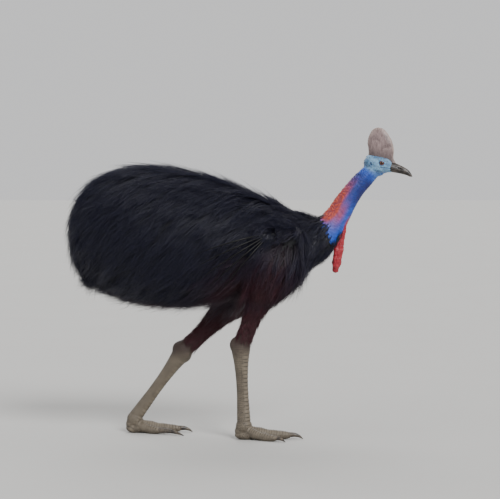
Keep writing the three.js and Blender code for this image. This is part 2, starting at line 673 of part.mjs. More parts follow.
function buildLegs() {
  for (const [name, side] of Object.entries(SIDES)) {
    const leg = LEGS[name];
    const tarsus = tarsusSolid(leg).trimByPlane([0, 0, 1], 0);
    const down = (p) => vec(...leg.ankle).sub(p).normalize();
    const coat = joinLocks(limbLocks(shinCurve(leg), offShin[name], SHIN_COAT, down));
    const shin = join(shinSolid(leg), coat).subtract(torsoSpace).subtract(tarsusSolid(leg, GAP));
    addNode(`shin_${name}`, shin, MATERIALS.coat);
    addNode(`tarsus_${name}`, tarsus.subtract(footSolid(leg, GAP)), MATERIALS.leg_scales);
    addNode(`foot_${name}`, footSolid(leg), MATERIALS.leg_scales);
    for (const [toeName, toe] of Object.entries(TOES)) {
      let free = toeSolid(leg, side, toe).subtract(footSolid(leg, GAP)).subtract(tarsusSolid(leg, GAP));
      if (toeName !== 'middle') free = free.subtract(toeSolid(leg, side, TOES.middle, GAP));
      addNode(`toe_${toeName}_${name}`, free, MATERIALS.leg_scales);
      const claw = clawSolid(leg, side, toe).subtract(toeSolid(leg, side, toe, GAP));
      addNode(`claw_${toeName}_${name}`, claw, MATERIALS.claw_horn);
    }
  }
}

function buildWings() {
  for (const [name, side] of Object.entries(SIDES))
    addNode(`wing_${name}`, wingSolid(side).subtract(torsoSolid(GAP)), MATERIALS.quill_horn);
}

buildTorso();
buildNeck();
buildHead();
buildLegs();
buildWings();

// The origin goes under the middle of the whole bird.
const box = new THREE.Box3().setFromObject(bird);
bird.position.set(-(box.min.x + box.max.x) / 2, -(box.min.y + box.max.y) / 2, 0);

export default bird;
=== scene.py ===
# A southern cassowary, life size, walking forward with its neck held low.
# The shapes are drawn in millimetres from the same sizes as the solids, +Z up, the bird faces +X and
# its left side is +Y. They become metres in the part's frame when a mesh is made.

import math

import bpy
import numpy as np
from mathutils import Matrix, Vector, noise


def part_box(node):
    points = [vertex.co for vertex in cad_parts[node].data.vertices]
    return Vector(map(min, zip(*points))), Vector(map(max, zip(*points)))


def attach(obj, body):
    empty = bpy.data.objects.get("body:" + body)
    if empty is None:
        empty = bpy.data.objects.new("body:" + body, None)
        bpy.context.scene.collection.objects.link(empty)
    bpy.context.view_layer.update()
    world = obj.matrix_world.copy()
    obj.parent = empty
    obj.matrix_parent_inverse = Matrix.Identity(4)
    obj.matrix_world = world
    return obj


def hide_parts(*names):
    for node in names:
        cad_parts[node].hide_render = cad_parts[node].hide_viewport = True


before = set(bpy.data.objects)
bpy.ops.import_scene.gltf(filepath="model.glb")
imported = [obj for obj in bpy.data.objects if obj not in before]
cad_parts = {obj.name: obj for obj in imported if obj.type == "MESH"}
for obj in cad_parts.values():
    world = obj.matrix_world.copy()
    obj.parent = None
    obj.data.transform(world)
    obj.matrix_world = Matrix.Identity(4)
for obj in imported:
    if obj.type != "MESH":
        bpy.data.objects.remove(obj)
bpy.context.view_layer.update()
bpy.ops.object.select_all(action="DESELECT")

# Sizes shared with the solids

TORSO = dict(middle=2, half_length=483, height=803, fall=42, half_height=(237, -80, -40),
             half_width=(190, -18, -8), roundness=2.4, roof=0.12)
NECK_POINTS = ((370, 0, 786), (440, 0, 792), (502, 0, 822), (546, 0, 878), (582, 0, 938), (618, 0, 990),
               (658, 0, 1038), (700, 0, 1080))
NECK_SIDE = (92, 86, 62, 45, 38, 34, 31, 27)
NECK_FRONT = (108, 98, 68, 50, 43, 38, 34, 30)
HEAD = dict(at=(716, 0, 1093), turn=-14, nod=9, middle=-3, half_length=59, half_width=(38, -4, -2),
            half_height=(35, -2, 0), drop=3, roundness=2.4)
EYE = dict(at=(15, 26.5, 5), radius=13, almond=(11.6, 9))
EAR_AT = (-27, 35.5, -5)
BILL_LINE = ((22, 0, -10), (52, 0, -12), (86, 0, -15), (116, 0, -21), (139, 0, -32))
BILL_SIDE = (20, 18.5, 13.5, 9.5, 2.4)
BILL_UPPER = (24, 25, 20, 14, 2.6)
BILL_LOWER = (12, 12, 10, 7, 1.8)
BILL_LOWER_LENGTH = 0.95
NOSTRIL_AT = (88, 8.5, -5)
CASQUE = dict(height=142, lean=(4, -22), half_length=55, half_width=20, waist=0.08)
WATTLE = dict(length={"left": 182, "right": 160}, root=(576, 16, 846), lean=-34, spread=8,
              half=(10, 12, 14, 16.5, 18.5, 15), thick=(7.5, 7.5, 8, 9, 10, 8.5))
LEGS = {
    "right": dict(knee=(322, -112, 742), shin=(222, -108, 520), ankle=(163, -96, 368), foot=(176, -92, 60)),
    "left": dict(knee=(262, 112, 690), shin=(55, 106, 455), ankle=(-72, 98, 330), foot=(-268, 94, 62)),
}
SHIN_SIDE = (44, 80, 62, 35, 26, 28)
SHIN_FRONT = (62, 98, 76, 40, 29, 33)
ANKLE = dict(side=31, front=38)
TARSUS_SIDE = (31, 25, 21, 20, 22, 27)
TARSUS_FRONT = (38, 29, 24, 23, 25, 27)
FOOT = dict(side=32, front=32, up=33, pad_front=42)
TOES = {
    "inner": dict(angle=27, length=104, thick=19, claw=108, claw_thick=11),
    "middle": dict(angle=0, length=172, thick=21, claw=48, claw_thick=10.5),
    "outer": dict(angle=-29, length=132, thick=18, claw=40, claw_thick=9.5),
}
SOLE_DEPTH = 2.5
WING = dict(root=(262, 166, 812), sunk=6, stub=(36, 26, 20), quills=5, length=300, thick=3.2, fall=(10, 46),
            stand=(30, 52, 54, 60))
SIDES = {"left": 1, "right": -1}
UNDER_COAT = 3  # how far the skin lies inside the solids where the coat covers it
TORSO_UNDER_COAT = 5

# The drawing's origin, found from the right foot's pad, whose edges the solids keep
PAD_AHEAD, PAD_HALF = 6, 17
foot_x, foot_y, _ = LEGS["right"]["foot"]
pad_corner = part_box("foot_right")[0]
SHIFT = np.array([pad_corner.x * 1000 - (foot_x + PAD_AHEAD - FOOT["pad_front"]),
                  pad_corner.y * 1000 - (foot_y - FOOT["side"]), 0])

rng = np.random.default_rng(20)


# Numbers and lines


def unit(v):
    return v / np.linalg.norm(v, axis=-1, keepdims=True).clip(1e-9)


def dot(a, b):
    return np.sum(a * b, axis=-1, keepdims=True)


def mix(a, b, t):
    return a + (b - a) * t


def ease(value, start, end):
    t = np.clip((value - start) / (end - start), 0, 1)
    return t * t * (3 - 2 * t)


def bump_at(value, middle, width):
    """1 where value is at the middle, and falling away on both sides."""
    return np.exp(-((value - middle) / width) ** 2)


def along(values, t):
    """The value at t, from 0 to 1, on a smooth line through evenly spaced values."""
    values = np.array(values, float)
    place = np.clip(t, 0, 1) * (len(values) - 1)
    i = np.minimum(place.astype(int), len(values) - 2)
    w = place - i
    before, a, b = values[np.maximum(i - 1, 0)], values[i], values[i + 1]
    after = values[np.minimum(i + 2, len(values) - 1)]
    leave, arrive = (b - before) / 2, (after - a) / 2
    return a + leave * w + (3 * (b - a) - 2 * leave - arrive) * w**2 + (2 * (a - b) + leave + arrive) * w**3


class Line:
    """A smooth line through points, kept as many short steps."""

    STEPS = 401

    def __init__(self, points):
        p = np.array(points, float)
        ends = np.vstack([2 * p[0] - p[1], p, 2 * p[-1] - p[-2]])
        self.t = np.linspace(0, 1, self.STEPS)
        place = self.t * (len(p) - 1)
        i = np.minimum(place.astype(int), len(p) - 2)
        w = (place - i)[:, None]
        a, b, c, d = ends[i], ends[i + 1], ends[i + 2], ends[i + 3]
        ab, bc, cd = (np.linalg.norm(v, axis=1, keepdims=True) ** 0.5 for v in (b - a, c - b, d - c))
        leave = ((b - a) / ab - (c - a) / (ab + bc) + (c - b) / bc) * bc
        arrive = ((c - b) / bc - (d - b) / (bc + cd) + (d - c) / cd) * bc
        self.points = (b + leave * w + (3 * (c - b) - 2 * leave - arrive) * w**2
                       + (2 * (b - c) + leave + arrive) * w**3)
        self.ways = unit(np.gradient(self.points, axis=0))
        steps = np.linalg.norm(np.diff(self.points, axis=0), axis=1)
        self.lengths = np.concatenate([[0], np.cumsum(steps)])

    def read(self, rows, t):
        return np.stack([np.interp(t, self.t, rows[:, k]) for k in range(3)], axis=-1)

    def at(self, t):
        return self.read(self.points, np.asarray(t, float))

    def way(self, t):
        return unit(self.read(self.ways, np.asarray(t, float)))

    def axes(self, t, side=(0, 1, 0)):
        """The ways ahead, across and to the front of the line at t."""
        ahead = self.way(t)
        across = unit(np.array(side, float) - ahead * dot(ahead, np.array(side, float)))
        return ahead, across, np.cross(across, ahead)

    def nearest(self, points, count=121):
        """For each point: t of the nearest place on the line."""
        rows = self.points[np.linspace(0, self.STEPS - 1, count).astype(int)]
        found = np.empty(len(points), int)
        for start in range(0, len(points), 20000):
            apart = points[start:start + 20000, None, :] - rows[None]
            found[start:start + 20000] = np.argmin((apart**2).sum(-1), axis=1)
        return found / (count - 1)

    def around(self, points, side=(0, 1, 0)):
        """For each point: t, the angle round the line and the distance from it."""
        t = self.nearest(points)
        _, across, front = self.axes(t, side)
        off = points - self.at(t)
        wide, deep = dot(off, across)[:, 0], dot(off, front)[:, 0]
        return t, np.arctan2(deep, wide), np.hypot(wide, deep)


def grain(points, size, seed=0):
    """Smooth noise from -1 to 1 at points, with lumps about `size` millimetres across."""
    shifted = points / size + seed * 17.3
    return np.array([noise.noise(Vector(p)) for p in shifted])


def turns_of(count):
    """Evenly spaced angles, once round."""
    return np.linspace(0, 2 * math.pi, count, endpoint=False)


# Meshes


def drawn(points):
    return (np.asarray(points, float).reshape(-1, 3) + SHIFT) / 1000


def faces_between(index):
    """Four-cornered faces between each ring of points and the next."""
    beside = np.roll(index, -1, axis=1)
    return np.stack([index[:-1], beside[:-1], beside[1:], index[1:]], axis=-1).reshape(-1, 4)


def closed_faces(rows, around):
    """Faces of a closed surface of rings, which has one more point at each end."""
    index = np.arange(rows * around).reshape(rows, around)
    beside = np.roll(index, -1, axis=1)
    top, bottom = (np.full(around, rows * around + end) for end in (0, 1))
    fans = [np.stack([top, beside[0], index[0]], 1), np.stack([bottom, index[-1], beside[-1]], 1)]
    return [faces_between(index), np.vstack(fans)]


def outward(points, faces):
    """The faces, turned over if they point inwards."""
    volume = 0
    for part in faces:
        for k in range(1, part.shape[1] - 1):
            a, b, c = points[part[:, 0]], points[part[:, k]], points[part[:, k + 1]]
            volume += np.sum(a * np.cross(b, c))
    return faces if volume > 0 else [part[:, ::-1] for part in faces]


def new_piece(name, points, faces):
    mesh = bpy.data.meshes.new(name)
    corners = np.concatenate([part.ravel() for part in faces])
    counts = np.concatenate([np.full(len(part), part.shape[1]) for part in faces])
    mesh.vertices.add(len(points))
    mesh.vertices.foreach_set("co", drawn(points).ravel())
    mesh.loops.add(len(corners))
    mesh.loops.foreach_set("vertex_index", corners)
    mesh.polygons.add(len(counts))
    mesh.polygons.foreach_set("loop_start", np.concatenate([[0], np.cumsum(counts)[:-1]]))
    mesh.update(calc_edges=True)
    mesh.shade_smooth()
    piece = bpy.data.objects.new(name, mesh)
    bpy.context.scene.collection.objects.link(piece)
    return piece


def closed_piece(name, rings, first, last):
    points = np.vstack([rings.reshape(-1, 3), first, last])
    return new_piece(name, points, outward(points, closed_faces(*rings.shape[:2])))


def tube_rings(line, half, around, rows, span=(0, 1), side=(0, 1, 0)):
    """Rings along part of a line. half(t, angle) gives the half sizes sideways and forwards there."""
    t = np.repeat(np.linspace(*span, rows)[:, None], around, axis=1)
    angle = np.repeat(turns_of(around)[None], rows, axis=0)
    _, across, front = line.axes(t, side)
    wide, deep = half(t, angle)
    return (line.at(t) + across * (np.cos(angle) * wide)[..., None]
            + front * (np.sin(angle) * deep)[..., None])


def oval(sides, fronts, inside=0):
    """Half sizes that change along a tube, a little inside the given ones."""
    return lambda t, _: (along(sides, t) - inside, along(fronts, t) - inside)


def tube(name, line, half, around=48, rows=60, span=(0, 1), side=(0, 1, 0), tip=1.0):
    rings = tube_rings(line, half, around, rows, span, side)
    first = line.at(span[0]) - tip * line.way(span[0])
    last = line.at(span[1]) + tip * line.way(span[1])
    return closed_piece(name, rings, first, last)


def ball(name, at, half, around=40, rows=24, turned=np.array):
    """An egg-shaped closed form. half gives its half sizes, turned sets it in place."""
    way, angle = np.linspace(0, math.pi, rows + 2)[1:-1, None], turns_of(around)[None]
    shape = np.stack([np.sin(way) * np.cos(angle), np.sin(way) * np.sin(angle), np.cos(way) + 0 * angle], -1)
    poles = [turned(at + np.array((0, 0, sign * half[2]))) for sign in (1, -1)]
    return closed_piece(name, turned(at + shape * np.array(half, float)), *poles)


def finish_with(piece, kind, **settings):
    """One modifier, set and applied."""
    bpy.context.view_layer.objects.active = piece
    modifier = piece.modifiers.new(kind.lower(), kind)
    for key, value in settings.items():
        setattr(modifier, key, value)
    bpy.ops.object.modifier_apply(modifier=modifier.name)


def unite(whole, *others):
    for other in others:
        finish_with(whole, "BOOLEAN", operation="UNION", solver="MANIFOLD", object=other)
        bpy.data.objects.remove(other)
    return whole


def joined(name, parts):
    """Several pieces made one object, each still its own shell."""
    bpy.ops.object.select_all(action="DESELECT")
    for part in parts:
        part.select_set(True)
    bpy.context.view_layer.objects.active = parts[0]
    bpy.ops.object.join()
    whole = bpy.context.view_layer.objects.active
    whole.name = name
    bpy.ops.object.select_all(action="DESELECT")
    return whole


def fused(name, parts, voxel, smoothing):
    """Overlapping closed shapes made one skin, evened out where they meet."""
    whole = joined(name, parts)
    finish_with(whole, "REMESH", mode="VOXEL", voxel_size=voxel / 1000, use_smooth_shade=True)
    finish_with(whole, "SMOOTH", factor=0.5, iterations=smoothing)
    return whole


def read_points(piece, what):
    """The places or normals of a mesh's points, as rows of three numbers."""
    flat = np.empty(len(piece.data.vertices) * 3)
    piece.data.vertices.foreach_get(what, flat)
    return flat.reshape(-1, 3)


def points_of(piece):
    return read_points(piece, "co") * 1000 - SHIFT


def move_points(piece, points):
    piece.data.vertices.foreach_set("co", drawn(points).ravel())
    piece.data.update()


def emboss(piece, raised, lowest=-math.inf, turned=np.array):
    """Moves each point out along its normal. lowest keeps a piece off the floor, turned sets it in place."""
    points = points_of(piece) + read_points(piece, "normal") * raised[:, None]
    points[:, 2] = np.maximum(points[:, 2], lowest)
    move_points(piece, turned(points))


def mark(piece, name, values):
    """A number at each point of the mesh, for a material to read."""
    layer = piece.data.attributes.new(name, "FLOAT", "POINT")
    layer.data.foreach_set("value", np.asarray(values, np.float32))


# The body's plain shape, and how far a point stands off it


def bend(sizes, s):
    return sizes[0] + sizes[1] * s + sizes[2] * s * s


def torso_point(x, turn, grow=0.0):
    """The point at x and at a turn round the section: 0 on the back, 0.25 on the left side."""
    s = (x - TORSO["middle"]) / (TORSO["half_length"] + grow)
    inside = (1 - np.abs(s).clip(0, 1) ** TORSO["roundness"]) ** (1 / TORSO["roundness"])
    rise, wide = np.cos(turn * 2 * math.pi), np.sin(turn * 2 * math.pi)
    y = wide * (bend(TORSO["half_width"], s) + grow) * inside * (1 - TORSO["roof"] * rise)
    z = TORSO["height"] - TORSO["fall"] * s + rise * (bend(TORSO["half_height"], s) + grow) * inside
    return np.stack([x + 0 * y, y, z], axis=-1)


def torso_level(p):
    """Less than 1 inside the torso's plain shape, 1 on it and more outside."""
    s = np.clip((p[..., 0] - TORSO["middle"]) / TORSO["half_length"], -1.4, 1.4)
    rise = (p[..., 2] - TORSO["height"] + TORSO["fall"] * s) / bend(TORSO["half_height"], s)
    wide = p[..., 1] / (bend(TORSO["half_width"], s) * (1 - TORSO["roof"] * np.clip(rise, -1, 1)))
    n = TORSO["roundness"]
    return (np.abs(s) ** n + np.hypot(rise, wide) ** n) ** (1 / n)


def off_torso(p):
    """How far points stand off the torso, and the way out from it."""
    here = torso_level(p)
    slope = np.stack([torso_level(p + step) - here for step in np.eye(3)], axis=-1)
    size = np.linalg.norm(slope, axis=-1).clip(1e-6)
    return (here - 1) / size, slope / size[..., None]


def off_balls(centres, radii):
    """The same for a group of balls."""
    def off(p):
        apart = p[:, None, :] - centres[None]
        stand = np.linalg.norm(apart, axis=-1) - radii
        best = np.argmin(stand, axis=1)
        rows = np.arange(len(p))
        return stand[rows, best], unit(apart[rows, best])
    return off


def off_limb(line, sides, fronts):
    """The same for a limb with oval sections and rounded ends."""
    def off(p):
        t = line.nearest(p, 61)
        _, across, front = line.axes(t)
        apart = p - line.at(t)
        angle = np.arctan2(dot(apart, front), dot(apart, across))[:, 0]
        side, fore = along(sides, t), along(fronts, t)
        radius = side * fore / np.hypot(fore * np.cos(angle), side * np.sin(angle))
        return np.linalg.norm(apart, axis=1) - radius, unit(apart)
    return off


def shin_line(leg):
    knee, shin = np.array(leg["knee"], float), np.array(leg["shin"], float)
    return Line([mix(knee, shin, -0.2), mix(knee, shin, 0.5), shin, leg["ankle"]])


neck_line = Line(NECK_POINTS)
shin_lines = {name: shin_line(leg) for name, leg in LEGS.items()}
off_neck = off_limb(neck_line, NECK_SIDE, NECK_FRONT)
off_shin = {name: off_limb(line, SHIN_SIDE, SHIN_FRONT) for name, line in shin_lines.items()}
wing_roots = np.array([(WING["root"][0] + step, side * (WING["root"][1] - 4), WING["root"][2] - step * 0.2)
                       for side in (1, -1) for step in (-18, 0, 18)], float)
off_wings = off_balls(wing_roots, np.array([20, 24, 20] * 2, float))
FIELDS = (off_torso, off_neck, off_shin["left"], off_shin["right"], off_wings)


def off_body(p):
    """How far each point stands off the nearest flesh, and the way out from it."""
    stand, out = FIELDS[0](p)
    for field in FIELDS[1:]:
        nearer, way = field(p)
        closer = nearer < stand
        stand = np.where(closer, nearer, stand)
        out = np.where(closer[:, None], way, out)
    return stand, out


# Materials


def colour(code):
    """An sRGB hex colour, made linear."""
    parts = [int(code[i:i + 2], 16) / 255 for i in (1, 3, 5)]
    return [p / 12.92 if p <= 0.04045 else ((p + 0.055) / 1.055) ** 2.4 for p in parts] + [1]


# The colour sockets of a Mix node
A_COLOUR, B_COLOUR, MIXED = 6, 7, 2


class Finish:
    """One material: its shader's plain values, its nodes and the marks on the mesh that it reads."""

    def __init__(self, name, marks=(), **settings):
        self.material = bpy.data.materials.new(name)
        self.material.use_nodes = True
        self.tree = self.material.node_tree
        self.shader = self.tree.nodes["Principled BSDF"]
        for key, value in settings.items():
            self.shader.inputs[key.replace("_", " ")].default_value = value
        self.place = self.add("TexCoord").outputs["Object"]
        self.marks = [self.add("Attribute", attribute_name=mark).outputs["Fac"] for mark in marks]

    def add(self, kind, inputs=None, **settings):
        """One node, with its settings and with what its inputs hold or are linked to."""
        node = self.tree.nodes.new("ShaderNode" + kind)
        for key, value in settings.items():
            setattr(node, key, value)
        for key, value in (inputs or {}).items():
            if isinstance(value, bpy.types.NodeSocket):
                self.tree.links.new(value, node.inputs[key])
            else:
                node.inputs[key].default_value = colour(value) if isinstance(value, str) else value
        return node

    def layered(self, ground, *layers):
        """A ground colour with others laid over it in turn, each by its share."""
        for share, over in layers:
            both = {0: share, A_COLOUR: ground, B_COLOUR: over}
            ground = self.add("Mix", both, data_type="RGBA").outputs[MIXED]
        return ground

    def blotched(self, scale, detail, *tones, **more):
        """The share of a soft pattern, and for each pair of tones their mixture by it."""
        pattern = {"Vector": self.place, "Scale": scale, "Detail": detail, **more}
        share = self.add("TexNoise", pattern).outputs["Fac"]
        return share, *(self.layered(dark, (share, light)) for dark, light in tones)

    def done(self, paint, height=None, strength=0.0, depth=0.0):
        """The colour, and the height of the fine relief, given to the shader."""
        self.tree.links.new(paint, self.shader.inputs["Base Color"])
        if height is not None:
            bump = self.add("Bump", {"Height": height, "Strength": strength, "Distance": depth})
            self.tree.links.new(bump.outputs[0], self.shader.inputs["Normal"])
        return self.material


# Head frame: X to the bill's tip, turned and set on the neck

HEAD_TURN = np.array(Matrix.Rotation(math.radians(HEAD["turn"]), 3, "Z")
                     @ Matrix.Rotation(math.radians(HEAD["nod"]), 3, "Y"))
HEAD_AT = np.array(HEAD["at"], float)


def to_bird(points):
    return np.asarray(points, float) @ HEAD_TURN.T + HEAD_AT


def to_head(points):
    return (points - HEAD_AT) @ HEAD_TURN


# Skin


def skull():
    """The head's plain shape in rings from back to front."""
    s = -np.cos(np.linspace(0, math.pi, 54)[1:-1, None])
    angle = turns_of(72)[None]
    inside = (1 - np.abs(s) ** HEAD["roundness"]) ** (1 / HEAD["roundness"])
    y = np.cos(angle) * bend(HEAD["half_width"], s) * inside
    z = np.sin(angle) * bend(HEAD["half_height"], s) * inside - HEAD["drop"]
    x = HEAD["middle"] + s * HEAD["half_length"] + 0 * angle
    ends = [to_bird((HEAD["middle"] + sign * HEAD["half_length"], 0, -HEAD["drop"])) for sign in (-1, 1)]
    return closed_piece("skull", to_bird(np.stack([x, y, z], -1)), *ends)


# Soft forms that lie over the skull, on both sides or in the middle: middle and half sizes
FACE_FORMS = {
    "brow": ((12, 27, 18), (27, 9, 8)),
    "orbit": ((19, 21.5, 5), (19, 13.5, 15)),
    "cheek": ((-8, 21, -19), (38, 15, 14)),
    "gape_fold": ((30, 17, -14), (22, 6, 6)),
    "ear_swelling": ((-30, 27, -4), (16, 11, 17)),
    "chin": ((26, 0, -21), (34, 16, 8)),
    "throat": ((-14, 0, -35), (38, 19, 17)),
    "casque_foot": ((-6, 0, 20), (52, 25, 12)),
}


def neck_half(t, angle):
    """The bare neck's half sizes, with its throat and the cords under its skin."""
    throat = 4 * ease(t, 0.7, 0.86) * np.maximum(0, np.sin(angle))
    cord = 1.6 * np.cos(4 * angle) * ease(t, 0.4, 0.6)
    return along(NECK_SIDE, t) + cord, along(NECK_FRONT, t) + throat


def head_and_neck():
    parts = [skull(), tube("bare_neck", neck_line, neck_half, 72, 150, (0.27, 1))]
    for name, ((x, y, z), half) in FACE_FORMS.items():
        for side in SIDES.values() if y else (1,):
            parts.append(ball(name, (x, side * y, z), half, turned=to_bird))
    skin = fused("head_skin", parts, voxel=2.15, smoothing=10)
    emboss(skin, bare_relief(points_of(skin))[0])
    return skin


def bare_relief(points):
    """How far the bare skin is folded up or down, with its share of nape and of head at each point."""
    t, angle, _ = neck_line.around(points)
    length = neck_line.lengths[-1]
    in_head = to_head(points)
    on_head = np.maximum(ease(t, 0.9, 0.96), ease(in_head[:, 0], -20, 10))
    nape = ease(-np.sin(angle), 0.1, 0.7) * ease(t, 0.3, 0.4) * (1 - ease(t, 0.8, 0.95))
    wander, coarse = grain(points, 34), grain(points, 15, 1)
    reach = t * length
    rings = np.sin(2 * math.pi * (reach / 11 + 1.5 * wander + 0.5 * coarse + 0.3 * np.cos(2 * angle)))
    lumps = np.abs(np.sin(angle * 7 + 3.4 * wander + 2.6 * coarse + 0.03 * reach))
    knots = 0.75 + 0.5 * np.sin(2 * math.pi * (reach / 19 + 1.2 * wander + 0.8 * coarse))
    folds = (1 - nape) * (0.42 * rings + 0.7 * coarse) + nape * (2.6 * lumps * knots - 1.3)
    raised = (1 - on_head) * folds
    ahead, up = from_eye(in_head)
    crows_feet = np.sin(9 * np.arctan2(up, ahead) + 2 * coarse) * bump_at(np.hypot(ahead, up), 17, 4)
    raised += on_head * (0.5 * grain(points, 8, 2) + 0.5 * crows_feet)
    raised += ear_and_gape(in_head, on_head)
    return raised, nape, on_head, t, angle


def from_eye(in_head):
    """How far points lie ahead of the eye's middle and above it."""
    return in_head[:, 0] - EYE["at"][0], in_head[:, 2] - EYE["at"][2]


def ear_and_gape(p, on_head):
    """How far the skin is drawn in at the ears and along the mouth's corner, and raised round them."""
    ahead, up = p[:, 0] - EAR_AT[0], p[:, 2] - EAR_AT[2]
    off_ear = np.hypot(ahead + 0.25 * up, 0.62 * up)
    front_rim = 0.4 + 0.6 * ease(ahead, -4, 4)
    ear = 1.3 * front_rim * bump_at(off_ear, 5.6, 1.8) - 4.6 * bump_at(off_ear, 0, 2.9)
    mouth = -11 - 0.05 * (50 - p[:, 0])
    off_line = p[:, 2] - mouth
    length = ease(p[:, 0], 8, 18) * (1 - ease(p[:, 0], 52, 60))
    gape = length * (0.7 * bump_at(np.abs(off_line), 3.2, 1.4) - 1.9 * bump_at(off_line, 0, 1.5))
    return on_head * (ear * ease(np.abs(p[:, 1]), 20, 27) + gape)


def eyelids(side):
    """The edge of both lids, a soft rim in an almond round the eye."""
    angle, turn = turns_of(72)[:, None], turns_of(14)[None]
    x, y, z = EYE["at"]
    long, high = EYE["almond"]
    reach, height = long * np.cos(angle), high * np.sin(angle) * (1 - 0.1 * np.cos(angle) ** 2)
    lie = np.sqrt((EYE["radius"] + 1.0) ** 2 - reach**2 - height**2)
    thick = 1.7 + 0.9 * ease(np.sin(angle), -0.2, 0.6) + 0.12 * np.sin(11 * angle)
    grown = 1 + np.cos(turn) * thick / np.hypot(reach, height)
    outer = side * (y + lie + np.sin(turn) * thick * 0.8)
    points = np.stack([x + reach * grown, outer, z + height * grown], axis=-1)
    index = np.arange(points[..., 0].size).reshape(points.shape[:2])
    quads = faces_between(np.vstack([index, index[:1]]))
    placed = to_bird(points.reshape(-1, 3))
    return new_piece("eyelids", placed, outward(placed, [quads]))


def tarsus_line(leg):
    ankle, foot = np.array(leg["ankle"], float), np.array(leg["foot"], float)
    return Line([ankle, (ankle + foot) / 2, foot])


def map_line(leg):
    """The line the shank's scales are counted along, down to the floor so that the heel has its rows."""
    ankle, foot = np.array(leg["ankle"], float), np.array(leg["foot"], float)
    return Line([ankle, mix(ankle, foot, 0.6), mix(ankle, foot, 1.2)])


def toe_frame(leg, side, toe):
    """A toe's way ahead, its way across and the place on the floor under the foot."""
    angle = math.radians(-side * toe["angle"])
    heading = np.array((math.cos(angle), math.sin(angle), 0))
    across = np.array((-math.sin(angle), math.cos(angle), 0))
    return heading, across, np.array((leg["foot"][0], leg["foot"][1], 0), float)


def toe_line(leg, side, toe):
    heading, _, start = toe_frame(leg, side, toe)
    low = toe["thick"] - SOLE_DEPTH
    places = ((0, 34), (0.3, low + 7), (0.62, low - 1), (1, low - 3))
    return Line([start + heading * (12 + toe["length"] * share) + (0, 0, height) for share, height in places])


def toe_half(toe):
    def half(t, angle):
        knuckles = 1 + 0.06 * np.cos(t * 3 * 2 * math.pi)
        size = toe["thick"] * mix(1.12, 0.8, t) * knuckles * (1 - 0.42 * ease(t, 0.84, 1.02))
        return size * 1.02, size
    return half


SHANK_PLATE, SHANK_SCALE = 15.5, 9
TOE_PLATE, TOE_SCALE = 10.5, 7


def scale_domes(around, length, size):
    """Scales in rows, each a low dome, with the rows half a scale apart."""
    row = np.floor(length / size)
    u = around / size + 0.5 * (row % 2)
    du, dv = np.abs(u - np.floor(u) - 0.5) * 2, np.abs(length / size - row - 0.5) * 2
    return (1 - du**4) * (1 - dv**4)


def scute_steps(plates):
    """Plates that each rise towards their lower edge and stand over the next one down."""
    within = plates - np.floor(plates)
    return within**1.4 * (1 - ease(within, 0.88, 1))


def leg_map(points, leg, side):
    """For each point of a leg: the turn round it from its front, the place along it counted in plates, the
    girth there in scales, how much of it is plates and how far it stands off its middle line."""
    line, ankle = map_line(leg), leg["ankle"]
    t, angle, off = line.around(points)
    above = np.maximum(0, points[:, 2] - ankle[2])
    found = [from_front(angle), (t * line.lengths[-1] - above) / SHANK_PLATE, 2 * math.pi * off / SHANK_SCALE,
             ease(-np.sin(angle), 0.1, 0.5) * ease(t, 0.04, 0.1), off / 22]
    for toe in TOES.values():
        line, across = toe_line(leg, side, toe), toe_frame(leg, side, toe)[1]
        t, angle, off = line.around(points, across)
        mine = [from_front(angle), t * line.lengths[-1] / TOE_PLATE, 2 * math.pi * off / TOE_SCALE,
                ease(-np.sin(angle), 0.1, 0.5), off / 18 + 3 * (t <= 0)]
        nearer = mine[4] < found[4]
        found = [np.where(nearer, new, old) for new, old in zip(mine, found)]
    return found


def from_front(angle):
    """The angle from the leg's front, from -pi to pi, so that its jump lies behind."""
    turned = angle + math.pi / 2
    return np.where(turned > math.pi, turned - 2 * math.pi, turned)


def leg_relief(points, leg, side):
    turn, plates, girth, plated, _ = leg_map(points, leg, side)
    domes = 0.8 * scale_domes(turn / (2 * math.pi) * girth, plates * 1.7, 1)
    return mix(domes, 2.0 * scute_steps(plates) - 0.7, plated) * ease(points[:, 2], 4, 10)


def leg_skin(name, side):
    leg, shin, shank = LEGS[name], shin_lines[name], tarsus_line(LEGS[name])
    ankle, foot = np.array(leg["ankle"], float), np.array(leg["foot"], float)
    parts = [
        tube("tibia", shin, oval(SHIN_SIDE, SHIN_FRONT), 40, 60, (0.5, 1)),
        tube("shank", shank, oval(TARSUS_SIDE, TARSUS_FRONT), 40, 80),
        ball("hock", ankle, (ANKLE["front"], ANKLE["side"], ANKLE["front"] + 9)),
        ball("heel", ankle + (-16, 0, 8), (27, 22, 33)),
    ]
    upper = fused("shank_skin", parts, voxel=3.3, smoothing=5)
    emboss(upper, leg_relief(points_of(upper), leg, side))
    pads = [ball("ball", foot - (0, 0, 8), (FOOT["front"], FOOT["side"], FOOT["up"])),
            ball("pad", (foot[0] + PAD_AHEAD, foot[1], PAD_HALF),
                 (FOOT["pad_front"], FOOT["side"], PAD_HALF + SOLE_DEPTH)),
            ball("heel_pad", foot - (9, 0, 27), (27, 25, 27))]
    for toe in TOES.values():
        across = toe_frame(leg, side, toe)[1]
        pads.append(tube("toe", toe_line(leg, side, toe), toe_half(toe), 36, 60, side=across, tip=4))
    lower = fused("foot_skin", pads, voxel=2.7, smoothing=4)
    emboss(lower, leg_relief(points_of(lower), leg, side), lowest=0)
    return unite(upper, lower)


def wing_stub(side):
    """The middle of the wing's stub, a little sunk in the flank."""
    x, y, z = WING["root"]
    return np.array((x, side * (y - WING["sunk"]), z))


